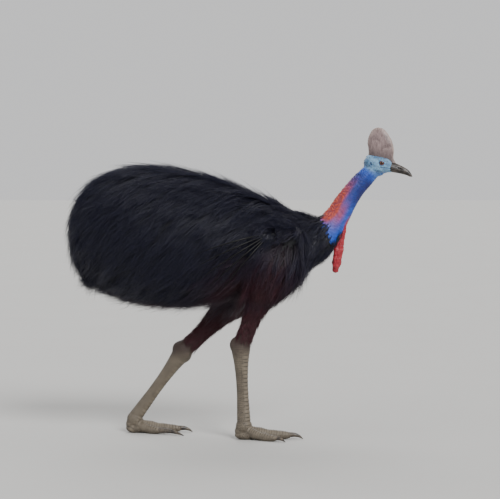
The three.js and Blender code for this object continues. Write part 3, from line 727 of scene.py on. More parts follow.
def body_skin():
    """One skin from bill to toes. Under the coat it lies a little inside the solids."""
    half_length = TORSO["half_length"] - TORSO_UNDER_COAT
    x = TORSO["middle"] - np.cos(np.linspace(0, math.pi, 62)[1:-1, None]) * half_length
    rings = torso_point(x, np.linspace(0, 1, 72, endpoint=False)[None], -TORSO_UNDER_COAT)
    ends = [torso_point(np.array(TORSO["middle"] + reach), 0.0, -TORSO_UNDER_COAT)
            for reach in (-half_length, half_length)]
    skin = closed_piece("skin", rings, *ends)
    hidden = [tube("neck_root", neck_line, oval(NECK_SIDE, NECK_FRONT, UNDER_COAT), 48, 40, (0.0, 0.32))]
    top_half = (SHIN_FRONT[0] - UNDER_COAT, SHIN_SIDE[0] - UNDER_COAT, 48)
    for line in shin_lines.values():
        hidden.append(tube("thigh", line, oval(SHIN_SIDE, SHIN_FRONT, UNDER_COAT), 40, 40, (0.02, 0.56)))
        hidden.append(ball("thigh_top", line.at(0.02), top_half, 28, 18))
    for side in SIDES.values():
        hidden.append(ball("wing_stub", wing_stub(side), WING["stub"], 28, 18))
    bare = [head_and_neck()] + [eyelids(side) for side in SIDES.values()]
    legs = [leg_skin(name, side) for name, side in SIDES.items()]
    return unite(skin, *hidden, *bare, *legs)


# Horn, eyes, wattles and quills


def eyeball(name, side):
    """The ball, a little fuller in front where the clear cornea stands over the iris."""
    at, radius = np.array(EYE["at"], float) * (1, side, 1), EYE["radius"]
    bpy.ops.mesh.primitive_uv_sphere_add(segments=64, ring_count=48, radius=radius / 1000)
    eye = bpy.context.view_layer.objects.active
    eye.select_set(False)
    eye.name = name
    local = np.array([v.co for v in eye.data.vertices]) * 1000
    local = np.stack([local[:, 0], local[:, 2] * side, local[:, 1]], axis=-1)
    away = np.degrees(np.arccos(np.clip(unit(local) @ unit(np.array((0.1, side, 0.02))), -1, 1)))
    local *= (1 + 0.05 * (1 - ease(away, 10, 46)))[:, None]
    if side > 0:
        eye.data.flip_normals()
    move_points(eye, to_bird(at + local))
    mark(eye, "off_gaze", away / 90)
    eye.data.shade_smooth()
    return eye


def casque():
    """A tall narrow helmet of horn over light bone. Its foot runs down on to the bill, its back edge is
    hollowed over the nape, and its thin shell is dented, furrowed at the foot and worn along the edge."""
    rise = np.sin(np.linspace(0, math.pi / 2, 122)[1:-1, None])
    angle = turns_of(140)[None]
    front, back = np.maximum(0, np.cos(angle)) ** 2, np.maximum(0, -np.cos(angle)) ** 2
    foot = 1 - CASQUE["waist"] * (1 - ease(rise, 0, 0.5))
    length = CASQUE["half_length"] * foot * (1 - rise**3.2) ** 0.5
    spur = front * (1 - ease(rise, 0.02, 0.24))
    width = CASQUE["half_width"] * (1 - rise**2) ** 0.62 * (1 - 0.3 * spur)
    keel = np.sign(np.sin(angle)) * np.abs(np.sin(angle)) ** 1.35
    ahead = 15 * spur + 3.5 * front * np.sin(math.pi * rise) + 5 * back * bump_at(rise, 0.3, 0.16)
    top = CASQUE["height"] * rise - 5 * front * ease(rise, 0.5, 1) * (1 - rise) * 4
    lengthways = mix(*CASQUE["lean"], rise) + np.cos(angle) * length + ahead
    points = np.stack([lengthways, keel * width + 3 * rise**2, top], axis=-1)
    ends = [(CASQUE["lean"][0], 0, 0), (CASQUE["lean"][1], 3, CASQUE["height"])]
    helmet = closed_piece("casque_sheath", points, *ends)
    local = points_of(helmet)
    up = local[:, 2] / CASQUE["height"]
    lines = np.sin(local[:, 0] * 0.75 + 2.4 * grain(local, 26) + 0.02 * local[:, 2])
    furrows = np.abs(np.sin(local[:, 0] * 0.3 + 1.8 * grain(local * (1, 1, 0.5), 14, 4)))
    furrows *= 1 - ease(up, 0.2, 0.55)
    dents = 2.0 * grain(local * (1, 1, 0.8), 34, 1) + 0.35 * grain(local, 12, 2) + 0.15 * grain(local, 5, 5)
    from_edge = np.abs(local[:, 1] - 3 * up**2)
    chips = ease(from_edge, 5, 0) * np.maximum(0, grain(local, 9, 3))
    raised = (0.16 * lines - 0.7 * furrows + dents - 1.2 * chips) * ease(local[:, 2], 16, 40)
    emboss(helmet, raised, turned=to_bird)
    mark(helmet, "up_casque", up)
    mark(helmet, "near_edge", ease(from_edge, 9, 1))
    return helmet


TIP_START = 0.955  # where along the bill its tip begins to round off


def bill_half(upper):
    height = BILL_UPPER if upper else BILL_LOWER
    length, way = (1, 1) if upper else (BILL_LOWER_LENGTH, -1)
    mouth = Line(BILL_LINE)
    line = Line([mouth.at(length * i / 4) + (0, 0, way * 0.4) for i in range(5)])

    def half(t, angle):
        outer = -way * np.sin(angle) > 0
        side = along(BILL_SIDE, t) * (1 if upper else 0.86)
        ridge = 1 + 0.05 * np.maximum(0, -way * np.sin(angle)) ** 6
        into_tip = np.clip(t - TIP_START, 0, 1) / (1.001 - TIP_START)
        blunt = (1 + 0.35 * ease(t, 0.8, 0.97)) * np.sqrt(1 - into_tip**2)
        return side * blunt, np.where(outer, along(height, t) * ridge * blunt, 0.25)

    around, rows = 120, 130
    rings = tube_rings(line, half, around, rows)
    ends = [line.at(0.0) - line.way(0.0), line.at(1.0) + 0.2 * line.way(1.0)]
    horn = closed_piece("beak_upper" if upper else "beak_lower", rings, *ends)
    local = points_of(horn)
    off_mouth = -way * np.sin(turns_of(around))
    outside = np.append(np.tile(ease(off_mouth, 0.03, 0.3), rows), (0, 0))
    raised = outside * (0.25 * grain(local * (0.4, 1, 1), 5) + 0.2 * grain(local, 2.2, 1))
    if upper:
        x, y, z = NOSTRIL_AT
        slope = local[:, 2] - z + 0.12 * (local[:, 0] - x)
        on_side = ease(np.abs(local[:, 1]), 2, 5)
        slit = on_side * np.exp(-(np.hypot((local[:, 0] - x) / 8.5, slope / 2.4) ** 4))
        groove = bump_at(slope, 1, 3.8) * ease(local[:, 0], 46, 66) * (1 - ease(local[:, 0], 94, 104))
        raised -= 2.6 * slit + 0.9 * groove * on_side
        # The nostril slit's share. The bill's material paints it near black as painted shade inside the
        # opening.
        mark(horn, "hollow", np.clip(1.4 * slit, 0, 1))
    emboss(horn, raised, turned=to_bird)
    return horn


WATTLE_CAP = 9  # depth of the rounded end


def wattle(name, side):
    """A long lobe of loose skin, folded across and knobbly towards its end."""
    x, y, z = WATTLE["root"]
    length = WATTLE["length"][name]
    places = [(x + WATTLE["lean"] * t**0.8, side * (y + WATTLE["spread"] * t), z - length * t)
              for t in (0, 0.3, 0.65, 1)]
    line = Line([(x + 9, side * (y - 7), z + 36)] + places)

    def half(t, angle):
        folds = 1 + 0.06 * np.sin(t * 38 + 2 * np.cos(angle)) + 0.07 * np.sin(t * 21 + side)
        folds = folds * (1 - 0.2 * ease(t, 0.86, 1)) * mix(0.72, 1, ease(t, 0.1, 0.5))
        return along(WATTLE["thick"], t) * folds, along(WATTLE["half"], t) * folds

    rings = tube_rings(line, half, 52, 120)
    middle = line.at(1.0)
    round_end = [middle + (rings[-1] - middle) * math.sqrt(1 - c * c) + (0, 0, -WATTLE_CAP * c)
                 for c in np.linspace(0, 1, 15)[1:-1]]
    rings = np.concatenate([rings, np.stack(round_end)])
    ends = line.at(0.0) - line.way(0.0), middle + (0, 0, -WATTLE_CAP)
    lobe = closed_piece(f"wattle_lobe_{name}", rings, *ends)
    points = points_of(lobe)
    t, angle, _ = line.around(points)
    wander = grain(points, 16, side + 5)
    creases = 0.45 * np.sin(2 * math.pi * (t * length / 7 + wander))
    creases = creases + 1.1 * np.sin(5 * angle + 3 * wander + 4 * t)
    knobs = grain(points * (1, 1, 0.6), 8, side + 2) + 0.4 * grain(points, 3.5, side + 4)
    emboss(lobe, creases * (1 - ease(t, 0.9, 1)) + 1.2 * knobs * ease(t, 0.1, 0.6))
    return lobe


def claw(name, side, toe_name):
    """A straight tapered nail, longest by far on the inner toe."""
    leg, toe = LEGS[name], TOES[toe_name]
    heading, across, start = toe_frame(leg, side, toe)
    root = start + heading * (toe["length"] + 2)
    base = toe["thick"] - SOLE_DEPTH - 2
    places = ((0, base), (0.4, base + 1), (0.75, base * 0.72), (1, 2.2))
    line = Line([root + heading * (toe["claw"] + 12) * share + (0, 0, height) for share, height in places])

    def half(t, angle):
        size = toe["claw_thick"] * (1 - t**1.4 * 0.86)
        ridge = 1 + 0.08 * np.maximum(0, -np.sin(angle)) ** 8
        return size * 0.8, size * ridge

    nail = tube(f"nail_{toe_name}_{name}", line, half, 28, 56, side=across, tip=1.5)
    points = points_of(nail)
    emboss(nail, 0.3 * grain(points, 4) + 0.25 * grain(points, 11, 1), lowest=0.1)
    return nail


def quill_line(side, place):
    """A quill's line from the stub of the wing, drooping along the flank and a little off it."""
    share = place / (WING["quills"] - 1)
    x, _, z = WING["root"]
    fall = math.radians(mix(*WING["fall"], share))
    length = WING["length"] * (1 - 0.3 * abs(share - 0.4))
    points = []
    for i, stand in enumerate(WING["stand"]):
        reach = i / (len(WING["stand"]) - 1) * length
        back = np.array(x - 8 - reach * math.cos(fall))
        down = z - 6 * place + 8 - reach * math.sin(fall) - 0.1 * reach**2 / length
        top, bottom = (torso_point(back, turn, stand)[2] for turn in (0.0, 0.5))
        turn = math.acos((down - (top + bottom) / 2) / ((top - bottom) / 2)) / (2 * math.pi)
        points.append(torso_point(back, side * turn, stand))
    return Line(points)


def quills(name, side):
    """Bare curved shafts, all that is left of the wing's flight feathers."""
    def half(t, angle):
        return [WING["thick"] * (1 - 0.85 * t**2)] * 2

    shafts = [tube("quill", quill_line(side, place), half, 14, 60, side=(0, 0, 1), tip=2)
              for place in range(WING["quills"])]
    return joined(f"quills_{name}", shafts)


# Coat: long loose feathers, each a few flat tapered strands that lie back along the body and droop

# A feather at six steps: the share of its length, how far it stands off the flesh and its share of full width
REACH = np.array([0, 0.12, 0.34, 0.58, 0.81, 1])
STAND = np.array([-6, 3, 11, 20, 30, 38])
WIDTH = np.array([0, 1, 0.95, 0.75, 0.42, 0])
LOOSE_SHARE = 0.3  # strands that stay apart from their lock
LIE_FALL = 1.1  # how steeply feathers fall, against their way back
BRISTLES = 520
# Each lock: how many strands, how far apart their roots lie and how wide they are
TORSO_LOCKS = dict(each=30, spread=26, width=2.4)
NECK_LOCKS = dict(each=20, spread=17, width=2.1)
WING_LOCKS = dict(each=18, spread=14, width=2.3)
LEG_LOCKS = {"thigh": dict(each=18, spread=17, width=2.2), "shin": dict(each=11, spread=10, width=1.9)}
# The legs' feathers: long and loose on the thigh, short and flat down the shin. Each pair runs downwards.
LEG_COATS = {
    "thigh": dict(span=(0, 0.5), spacing=20, fades=(0.12, 0.5), lengths=(135, 60), vary=0.15,
                  rises=(0.6, 0.3)),
    "shin": dict(span=(0.46, 0.9), spacing=14, fades=(0.46, 0.9), lengths=(80, 40), vary=0.2,
                 rises=(0.32, 0.14)),
}
# The coat's pieces along the torso, from the tail forwards
REGIONS = ("tail", "rump", "back", "flank", "shoulder", "breast")
REGION_EDGES = (-500, -300, -180, -40, 110, 250, 500)
# Where feathers turn maroon brown, on the near thigh and on the far one: middle, reach and greatest share
MAROON = (((262, -150, 650), (120, 130, 110), 0.95), ((200, 150, 600), (110, 130, 110), 0.6))


def lie_back(points):
    return unit(np.broadcast_to(np.array((-1, 0, -LIE_FALL), float), points.shape))


def turned_about(v, axis, angle):
    cos, sin = np.cos(angle)[:, None], np.sin(angle)[:, None]
    return v * cos + np.cross(axis, v) * sin + axis * dot(axis, v) * (1 - cos)


def lay(roots, lie, length, rise, yaw):
    """The middle of each lock at every step, with the ways out and across there."""
    point, way, steps = roots.copy(), None, []
    for i, reach in enumerate(REACH):
        _, out = off_body(point)
        wanted = turned_about(lie(point), out, yaw)
        outward_share = np.maximum(0, dot(wanted, out))
        wanted = unit(wanted - out * dot(wanted, out))
        way = wanted if way is None else unit(mix(way, wanted, 0.3))
        point = point + way * (length * (reach - (REACH[i - 1] if i else 0)))[:, None]
        stand = STAND[i] * (rise if STAND[i] > 0 else 1)
        for turn in range(3):
            here, out = off_body(point)
            short = (stand - here)[:, None]
            pull = np.where(short > 0, 1, mix(0.8, 0.3, outward_share) if turn == 0 else 0)
            if i < 2 and turn == 0:
                pull = np.ones_like(short)
            point = point + out * short * pull
        ahead = unit(way - out * dot(way, out))
        steps.append((point.copy(), out, np.cross(ahead, out)))
    return [np.stack(part, axis=1) for part in zip(*steps)]


def strands(name, roots, places, lie, length, rise, tone, each, spread, width):
    """One coat piece: around every lock's line `each` closed strands, most of them drawn in towards its tip.
    places are the roots' places on the unwrapped skin, tone is their share of maroon brown."""
    count = len(roots)
    middle, out, across = lay(roots, lie, length, rise, rng.normal(0, 0.16, count))
    lock = np.repeat(np.arange(count), each)
    n = len(lock)
    offset, bearing = np.sqrt(rng.random(n)) * spread, rng.random(n) * 2 * math.pi
    sideways, lengthways = np.cos(bearing) * offset, np.sin(bearing) * offset
    loose = rng.random(n) < LOOSE_SHARE
    draw_in = np.where(loose, 0.2, rng.uniform(0.7, 0.95, n))
    height = rng.normal(0, 1, n) * np.where(loose, 1.7, 1)
    longer = rng.uniform(0.7, 1.1, n)
    curl, phase = rng.normal(0, 1, n), rng.uniform(0, 2 * math.pi, n)
    start, high = middle[lock, 0], np.broadcast_to(rise, count)[lock]
    lines = []
    for i, reach in enumerate(REACH):
        together = 1 - draw_in * reach**1.2
        ahead = np.cross(out[lock, i], across[lock, i])
        point = start + (middle[lock, i] - start) * (1 + (longer - 1) * reach)[:, None]
        aside = sideways * together + 9 * curl * reach**2 + 2.5 * np.sin(phase + 5 * reach) * reach
        point += across[lock, i] * aside[:, None] + ahead * (lengthways * together)[:, None]
        point += out[lock, i] * (3.6 * height * (1 + reach) * reach * high)[:, None]
        lines.append(point)
    lines = np.stack(lines, axis=1)
    for i, stand in enumerate(STAND):
        here, way = off_body(lines[:, i])
        least = stand if i < 2 else 0.4 * stand * high
        lines[:, i] += way * np.where((here < least) | (i < 2), least - here, 0)[:, None]
    lines[..., 2] = np.maximum(lines[..., 2], 3)
    shade = 0.55 * rng.random(count)[lock] + 0.45 * rng.random(n)
    widths = width * rng.uniform(0.7, 1.3, n)
    return ribbon_piece(name, lines, out[lock], across[lock], widths, places[lock], shade, tone[lock])


def ribbon_piece(name, lines, out, across, width, places, shade, tone):
    """Closed strands of three corners, two edges and a low ridge, that end in points."""
    count, steps = lines.shape[:2]
    inner = np.arange(1, steps - 1)
    half = (width[:, None] * WIDTH[inner] / 2)[..., None]
    edge = across[:, inner] * half
    ridge = out[:, inner] * half * 0.7
    middle = lines[:, inner]
    rings = np.stack([middle + edge, middle + ridge, middle - edge], axis=2)
    points = np.concatenate([rings.reshape(count, -1, 3), lines[:, :1], lines[:, -1:]], axis=1)
    per = points.shape[1]
    shift = (np.arange(count) * per)[:, None, None]
    faces = [(np.roll(part[:, ::-1], 1, axis=1) + shift).reshape(-1, part.shape[1])
             for part in closed_faces(len(inner), 3)]
    coat = new_piece(name, points.reshape(-1, 3), faces)
    patch = np.zeros((per, 2))
    patch[:-2] = np.stack([np.tile([0, 0.5, 1], len(inner)), np.repeat(REACH[inner], 3)], -1)
    patch[-2:] = ((0.5, 0), (0.5, 1))
    low, high = places.min(0), places.max(0)
    spot = 0.01 + 0.975 * (places - low) / (high - low)
    uv = (spot[:, None] + 0.003 * patch[None]).reshape(-1, 2)
    corners = np.empty(len(coat.data.loops), np.int32)
    coat.data.loops.foreach_get("vertex_index", corners)
    layer = coat.data.uv_layers.new(name="OFBake")
    layer.data.foreach_set("uv", uv[corners].astype(np.float32).ravel())
    mark(coat, "shade", np.repeat(shade, per))
    mark(coat, "towards_tip", np.tile(patch[:, 1], count))
    mark(coat, "rust", np.repeat(tone, per))
    return coat


# Where the locks grow


def torso_roots(spacing):
    """Roots in staggered rings over the torso, with their places on its unwrapped skin."""
    rings = int(2.3 * TORSO["half_length"] / spacing)
    places = []
    for ring in range(rings):
        share = mix(0.985, -0.985, ring / (rings - 1))
        x = TORSO["middle"] + TORSO["half_length"] * math.sin(share * math.pi / 2)
        section = torso_point(np.full(3, x), np.array((0, 0.25, 0.5)))
        around = max(6, int(math.pi * (abs(section[1, 1]) + (section[0, 2] - section[2, 2]) / 2) / spacing))
        turn = (np.arange(around) + (ring % 2) / 2 + rng.uniform(-0.3, 0.3, around)) / around
        places.append(np.stack([turn % 1, x + rng.uniform(-0.35, 0.35, around) * spacing], -1))
    places = np.vstack(places)
    limit = TORSO["half_length"] * 0.998
    places[:, 1] = np.clip(places[:, 1], TORSO["middle"] - limit, TORSO["middle"] + limit)
    roots = torso_point(places[:, 1], places[:, 0])
    buried = (off_neck(roots)[0] < -24) | (off_wings(roots)[0] < -10)
    for name, off in off_shin.items():
        buried |= (off(roots)[0] < -22) & (roots[:, 2] < shin_lines[name].at(0.0)[2] - 20)
    return roots[~buried], places[~buried]


def limb_roots(line, off, span, spacing, sides, fronts):
    places = []
    rings = int(line.lengths[-1] * (span[1] - span[0]) / spacing)
    for ring in range(rings + 1):
        t = mix(*span, ring / rings)
        around = max(6, int(2 * math.pi * float(along(sides, t)) / spacing))
        turn = (np.arange(around) + ring / 2 + rng.uniform(-0.3, 0.3, around)) / around
        step = rng.uniform(-0.4, 0.4, around) / rings * (span[1] - span[0])
        places.append(np.stack([turn % 1, np.clip(t + step, *span)], -1))
    places = np.vstack(places)
    _, across, front = line.axes(places[:, 1])
    bearing, t = places[:, :1] * 2 * math.pi, places[:, 1:]
    spoke = across * np.cos(bearing) * along(sides, t) + front * np.sin(bearing) * along(fronts, t)
    roots = line.at(places[:, 1]) + spoke
    for turn in range(2):
        roots -= unit(spoke) * off(roots)[0][:, None]
    clear = off_torso(roots)[0] > -16
    return roots[clear], places[clear]


def feathered(points):
    """The share of maroon brown in the coat at each root, most on the near thigh and down both shins."""
    patches = sum(most * np.exp(-(((points - middle) / reach) ** 2).sum(1)) for middle, reach, most in MAROON)
    return np.maximum(0.9 * (1 - ease(points[:, 2], 540, 610)), patches)


def torso_coat():
    """Long feathers, longest and drooping over the rump, shorter on the breast."""
    roots, places = torso_roots(spacing=25)
    _, out = off_torso(roots)
    s = (roots[:, 0] - TORSO["middle"]) / TORSO["half_length"]
    length = 215 - 85 * ease(s, 0.3, 0.95) + 45 * ease(-s, 0.1, 0.8)
    free = (lie_back(roots) * out).sum(1)
    length *= (1 - 0.35 * ease(free, 0.6, 0.9)) * rng.uniform(0.85, 1.12, len(roots))
    rise = 1 + (np.where(out[:, 2] > 0, 0.72, 1.3) - 1) * np.abs(out[:, 2])
    pieces = []
    for region, low, high in zip(REGIONS, REGION_EDGES, REGION_EDGES[1:]):
        for name, side in SIDES.items():
            chosen = (roots[:, 0] > low) & (roots[:, 0] <= high) & (roots[:, 1] * side > 0)
            grown = roots[chosen]
            pieces.append(strands(f"coat_{region}_{name}", grown, places[chosen], lie_back, length[chosen],
                                  rise[chosen], feathered(grown), **TORSO_LOCKS))
    return pieces


def neck_coat():
    """Feathers that grow shorter, flatter and thinner up the neck, and end raggedly on the bare skin."""
    roots, places = limb_roots(neck_line, off_neck, (0.0, 0.39), 19, NECK_SIDE, NECK_FRONT)
    kept = rng.random(len(roots)) > ease(places[:, 1], 0.27, 0.4)
    roots, places = roots[kept], places[kept]
    up = ease(places[:, 1], 0.06, 0.33)
    length = mix(165, 55, up) * rng.uniform(0.85, 1.15, len(roots))
    rise = mix(0.75, 0.35, up)
    return strands("coat_neck", roots, places, lie_back, length, rise, 0 * length, **NECK_LOCKS)


def leg_coat(part, name, span, spacing, fades, lengths, vary, rises):
    """Feathers that lie down the leg. fades is where along it they change from the first size to the last."""
    line, ankle = shin_lines[name], np.array(LEGS[name]["ankle"], float)

    def lie(points):
        return unit(ankle - points) if part == "thigh" else line.way(line.nearest(points, 61))

    roots, places = limb_roots(line, off_shin[name], span, spacing, SHIN_SIDE, SHIN_FRONT)
    down = ease(places[:, 1], *fades)
    length = mix(*lengths, down) * rng.uniform(1 - vary, 1 + vary, len(roots))
    return strands(f"coat_{part}_{name}", roots, places, lie, length, mix(*rises, down), feathered(roots),
                   **LEG_LOCKS[part])


def bristles():
    """A few short hair-like bristles on the bare head and upper neck."""
    points = points_of(skin)
    _, _, on_head, t, _ = bare_relief(points)
    in_head = to_head(points)
    wanted = (t > 0.72) & (in_head[:, 0] < 34) & (in_head[:, 2] < 24)
    clear = np.hypot(*from_eye(in_head)) > 17
    found = rng.choice(np.flatnonzero(wanted & clear), BRISTLES, replace=False)
    roots, out = points[found], read_points(skin, "normal")[found]
    back = unit(-HEAD_TURN[:, 0] * mix(0.6, 1, on_head[found])[:, None] - (0, 0, 0.5))
    way = unit(back - out * dot(back, out))
    length = rng.uniform(5, 16, len(found))[:, None, None]
    reach = REACH[None, :, None]
    lines = roots[:, None] + way[:, None] * reach * length + out[:, None] * (0.28 * length * reach**0.8 - 0.8)
    across = np.repeat(np.cross(way, out)[:, None], len(REACH), axis=1)
    outs = np.repeat(out[:, None], len(REACH), axis=1)
    places = np.stack([in_head[found, 2], in_head[found, 0]], -1)
    return ribbon_piece("coat_bristles", lines, outs, across, np.full(len(found), 0.5), places,
                        rng.random(len(found)) * 0.5, np.zeros(len(found)))


def wing_coat(name, side):
    """Short feathers over the stub of the wing."""
    count = 80
    direction = unit(rng.normal(0, 1, (count, 3)))
    direction[:, 1] = np.abs(direction[:, 1]) * side
    roots = wing_stub(side) + direction * WING["stub"]
    places = np.stack([direction[:, 0], direction[:, 2]], -1)
    length = rng.uniform(80, 120, count)
    return strands(f"coat_wing_{name}", roots, places, lie_back, length, 0.6, 0 * length, **WING_LOCKS)


def coat():
    """All of the coat's pieces. They are made in this order, because each goes on with the random draws."""
    pieces = torso_coat() + [neck_coat()]
    for name in shin_lines:
        pieces += [leg_coat(part, name, **sizes) for part, sizes in LEG_COATS.items()]
    return pieces + [wing_coat(name, side) for name, side in SIDES.items()] + [bristles()]


# Finishes


def feather_black():
    """Melanin-black keratin: loose barbs without hooks, blue-black in the light, maroon on the legs."""
    feather = Finish("cassowary_feather", ("shade", "towards_tip", "rust"), Roughness=0.42,
                     Specular_IOR_Level=0.38, Sheen_Weight=0.03, Sheen_Roughness=0.4)
    return feather.done(feather.layered("#030305", *zip(feather.marks, ("#0d0e1e", "#12132d", "#3c1119"))))


def bare_skin():
    """Thin wrinkled living skin with fine pores: cobalt neck, pale face, orange red nape, and painted shade
    in the low parts of its folds and grooves.
    """
    skin = Finish("bare_neck_skin", ("deep", "pale", "dusk", "nape_red", "relief"), Roughness=0.5,
                  Specular_IOR_Level=0.4, Subsurface_Weight=0.12, Subsurface_Scale=0.004)
    deep, pale, slate, nape, relief = skin.marks
    tones = ("#143a9e", "#2f66d2"), ("#4f86b4", "#9cc6dc"), ("#8d1f1a", "#cc5533")
    _, cobalt, face, red = skin.blotched(55, 5, *tones)
    # Painted shade: the skin is darkened towards deep navy where its relief is low, in folds, grooves, the
    # ear and the gape.
    painted_fold_shade = skin.add("MapRange", {"Value": relief, "From Min": 0.6, "From Max": 0.15, "To Max": 0.5})
    paint = skin.layered(cobalt, (deep, "#18216a"), (pale, face), (slate, "#2b4f7a"), (nape, red),
                         (painted_fold_shade.outputs[0], "#16204a"))
    pores = skin.add("TexVoronoi", {"Vector": skin.place, "Scale": 420}, feature="SMOOTH_F1")
    creases, = skin.blotched(240, 4, Distortion=1.4)
    height = skin.add("Math", {0: pores.outputs["Distance"], 1: creases}, operation="ADD")
    return skin.done(paint, height.outputs[0], 0.85, 0.0009)


def hidden_skin():
    """The dark skin under the coat, seen only as shadow between feathers."""
    skin = Finish("skin_under_coat", Roughness=0.8)
    return skin.done(skin.blotched(60, 3, ("#050508", "#0e0f16"))[1])


def scaled_skin():
    """Keratin plates and scales of the legs, dusty grey brown, darker between them and above the hock."""
    skin = Finish("leg_scale_keratin", ("plated", "umber"), Roughness=0.55, Specular_IOR_Level=0.4)
    plated, upper_leg = skin.marks
    rows = skin.add("UVMap", uv_map="scale_rows").outputs["UV"]
    small = skin.add("Mapping", {"Vector": rows, "Scale": (1.3, 2.2, 1)}).outputs[0]
    cells = skin.add("TexVoronoi", {"Vector": small, "Scale": 1, "Randomness": 0.55}, voronoi_dimensions="2D",
                     feature="DISTANCE_TO_EDGE").outputs["Distance"]
    down_leg = skin.add("SeparateXYZ", {0: rows}).outputs["Y"]
    within = skin.add("Math", {0: down_leg}, operation="FRACT").outputs[0]
    scale, upper, lower = (
        skin.add("MapRange", {0: value, 1: low, 2: high}, interpolation_type="SMOOTHSTEP")
        for value, low, high in ((cells, 0, 0.16), (within, 0, 0.14), (within, 1, 0.9)))
    plate = skin.add("Math", {0: upper.outputs[0], 1: lower.outputs[0]}, operation="MULTIPLY")
    raised = skin.add("Mix", {0: plated, 2: scale.outputs[0], 3: plate.outputs[0]}).outputs[0]
    dust, horn = skin.blotched(38, 6, ("#39322b", "#857a69"), Roughness=0.62)
    paint = skin.layered("#1f1a16", (raised, skin.layered(horn, (upper_leg, "#33211f"))))
    grit = skin.add("Mix", {0: 0.12, 2: raised, 3: dust}).outputs[0]
    return skin.done(paint, grit, 0.8, 0.0011)


def casque_horn():
    """Thin keratin over light bone: pinkish grey, streaked upwards, dark at its foot and pale at its edge."""
    horn = Finish("casque_keratin", ("up_casque", "near_edge"), Specular_IOR_Level=0.4)
    up, edge = horn.marks
    upwards = horn.add("Mapping", {"Vector": horn.place, "Scale": (1, 1, 0.3)}).outputs[0]
    streak, = horn.blotched(170, 8, Vector=upwards, Roughness=0.72)
    patch, = horn.blotched(30, 6, Distortion=0.8)
    ranges = (streak, 0.32, 0.68, 1), (patch, 0.46, 0.7, 0.5), (up, 0.5, 0.16, 0.6)
    share, stain, foot = (
        horn.add("MapRange", {"Value": value, "From Min": low, "From Max": high, "To Max": most}).outputs[0]
        for value, low, high, most in ranges)
    rubbed = horn.add("Math", {0: edge, 1: share}, operation="MULTIPLY").outputs[0]
    paint = horn.layered("#665554", (share, "#937f7d"), (stain, "#3f3335"), (foot, "#231d1f"),
                         (rubbed, "#ab988f"))
    scuff = horn.add("MapRange", {"Value": share, "To Min": 0.3, "To Max": 0.5})
    horn.tree.links.new(scuff.outputs[0], horn.shader.inputs["Roughness"])
    return horn.done(paint, streak, 0.4, 0.0008)


def dark_horn(name, dark, light, scale, shine=0.5):
    """Satin keratin with fine growth lines, paler where it is worn, and painted near-black shade where a
    piece is marked hollow, in the bill's nostril slit.
    """
    horn = Finish(name, ("hollow",), Roughness=0.38, Specular_IOR_Level=shine)
    wear, = horn.blotched(scale, 5, Roughness=0.6)
    worn = horn.add("MapRange", {"Value": wear, "From Min": 0.42, "From Max": 0.75}).outputs[0]
    lines, = horn.blotched(scale * 6, 3)
    # The hollow mark paints the nostril slit near black as painted shade.
    return horn.done(horn.layered(dark, (worn, light), (horn.marks[0], "#020202")), lines, 0.25, 0.0005)


def wet_eye():
    """A black pupil in an amber-brown iris with fine flecks, under a clear wet cornea."""
    eye = Finish("wet_eye", ("off_gaze",), Roughness=0.3, Specular_IOR_Level=0.1, Coat_Weight=0.75,
                 Coat_Roughness=0.02)
    _, iris = eye.blotched(900, 3, ("#3c1808", "#8c4a20"))
    in_iris, at_rim = (
        eye.add("MapRange", {"Value": eye.marks[0], "From Min": start, "From Max": end}).outputs[0]
        for start, end in ((0.215, 0.24), (0.37, 0.45)))
    return eye.done(eye.layered("#020202", (in_iris, iris), (at_rim, "#130b08")))


def wattle_skin():
    """Soft blood-filled skin, crimson with paler knobs and dark creases."""
    skin = Finish("wattle_flesh", Roughness=0.42, Specular_IOR_Level=0.45, Subsurface_Weight=0.2,
                  Subsurface_Scale=0.005)
    pores = skin.add("TexVoronoi", {"Vector": skin.place, "Scale": 380}, feature="SMOOTH_F1")
    _, red = skin.blotched(90, 4, ("#6c0c1a", "#b32a35"))
    return skin.done(red, pores.outputs["Distance"], 0.6, 0.0007)


def plaster():
    """Smooth pale floor with a faint trowelled unevenness."""
    floor = Finish("pale_floor", Roughness=0.85)
    return floor.done(floor.blotched(1.6, 6, ("#b2b1ae", "#b7b6b3"))[1])


# Putting the bird together


LEG_TOP = 560  # below this height the skin that isn't hidden is scaled

# Where the pale face turns slate blue, seen from the side: middle, reach and greatest share
SLATE_PATCHES = {
    "ear": ((EAR_AT[0], EAR_AT[2]), (13, 12), 0.8),
    "before_eye": ((37, 3), (11, 8), 0.6),
    "gape": ((30, -12), (20, 3.5), 0.55),
    "casque_foot": ((2, 25), (44, 6), 0.6),
    "back_of_head": ((-46, -4), (14, 24), 0.7),
}


def dusk(p, on_head):
    """The share of slate blue on the pale face. It is full at the lids' edges."""
    share = np.zeros(len(p))
    for (x, z), (long, high), strength in SLATE_PATCHES.values():
        share = np.maximum(share, strength * bump_at(p[:, 0], x, long) * bump_at(p[:, 2], z, high))
    ahead, up = from_eye(p)
    in_almond = np.hypot(ahead / EYE["almond"][0], up / EYE["almond"][1])
    share = np.maximum(share, 1.6 * (1 - ease(in_almond, 0.86, 1.08)))
    return on_head * share * (1 + 0.5 * grain(p, 7, 6))


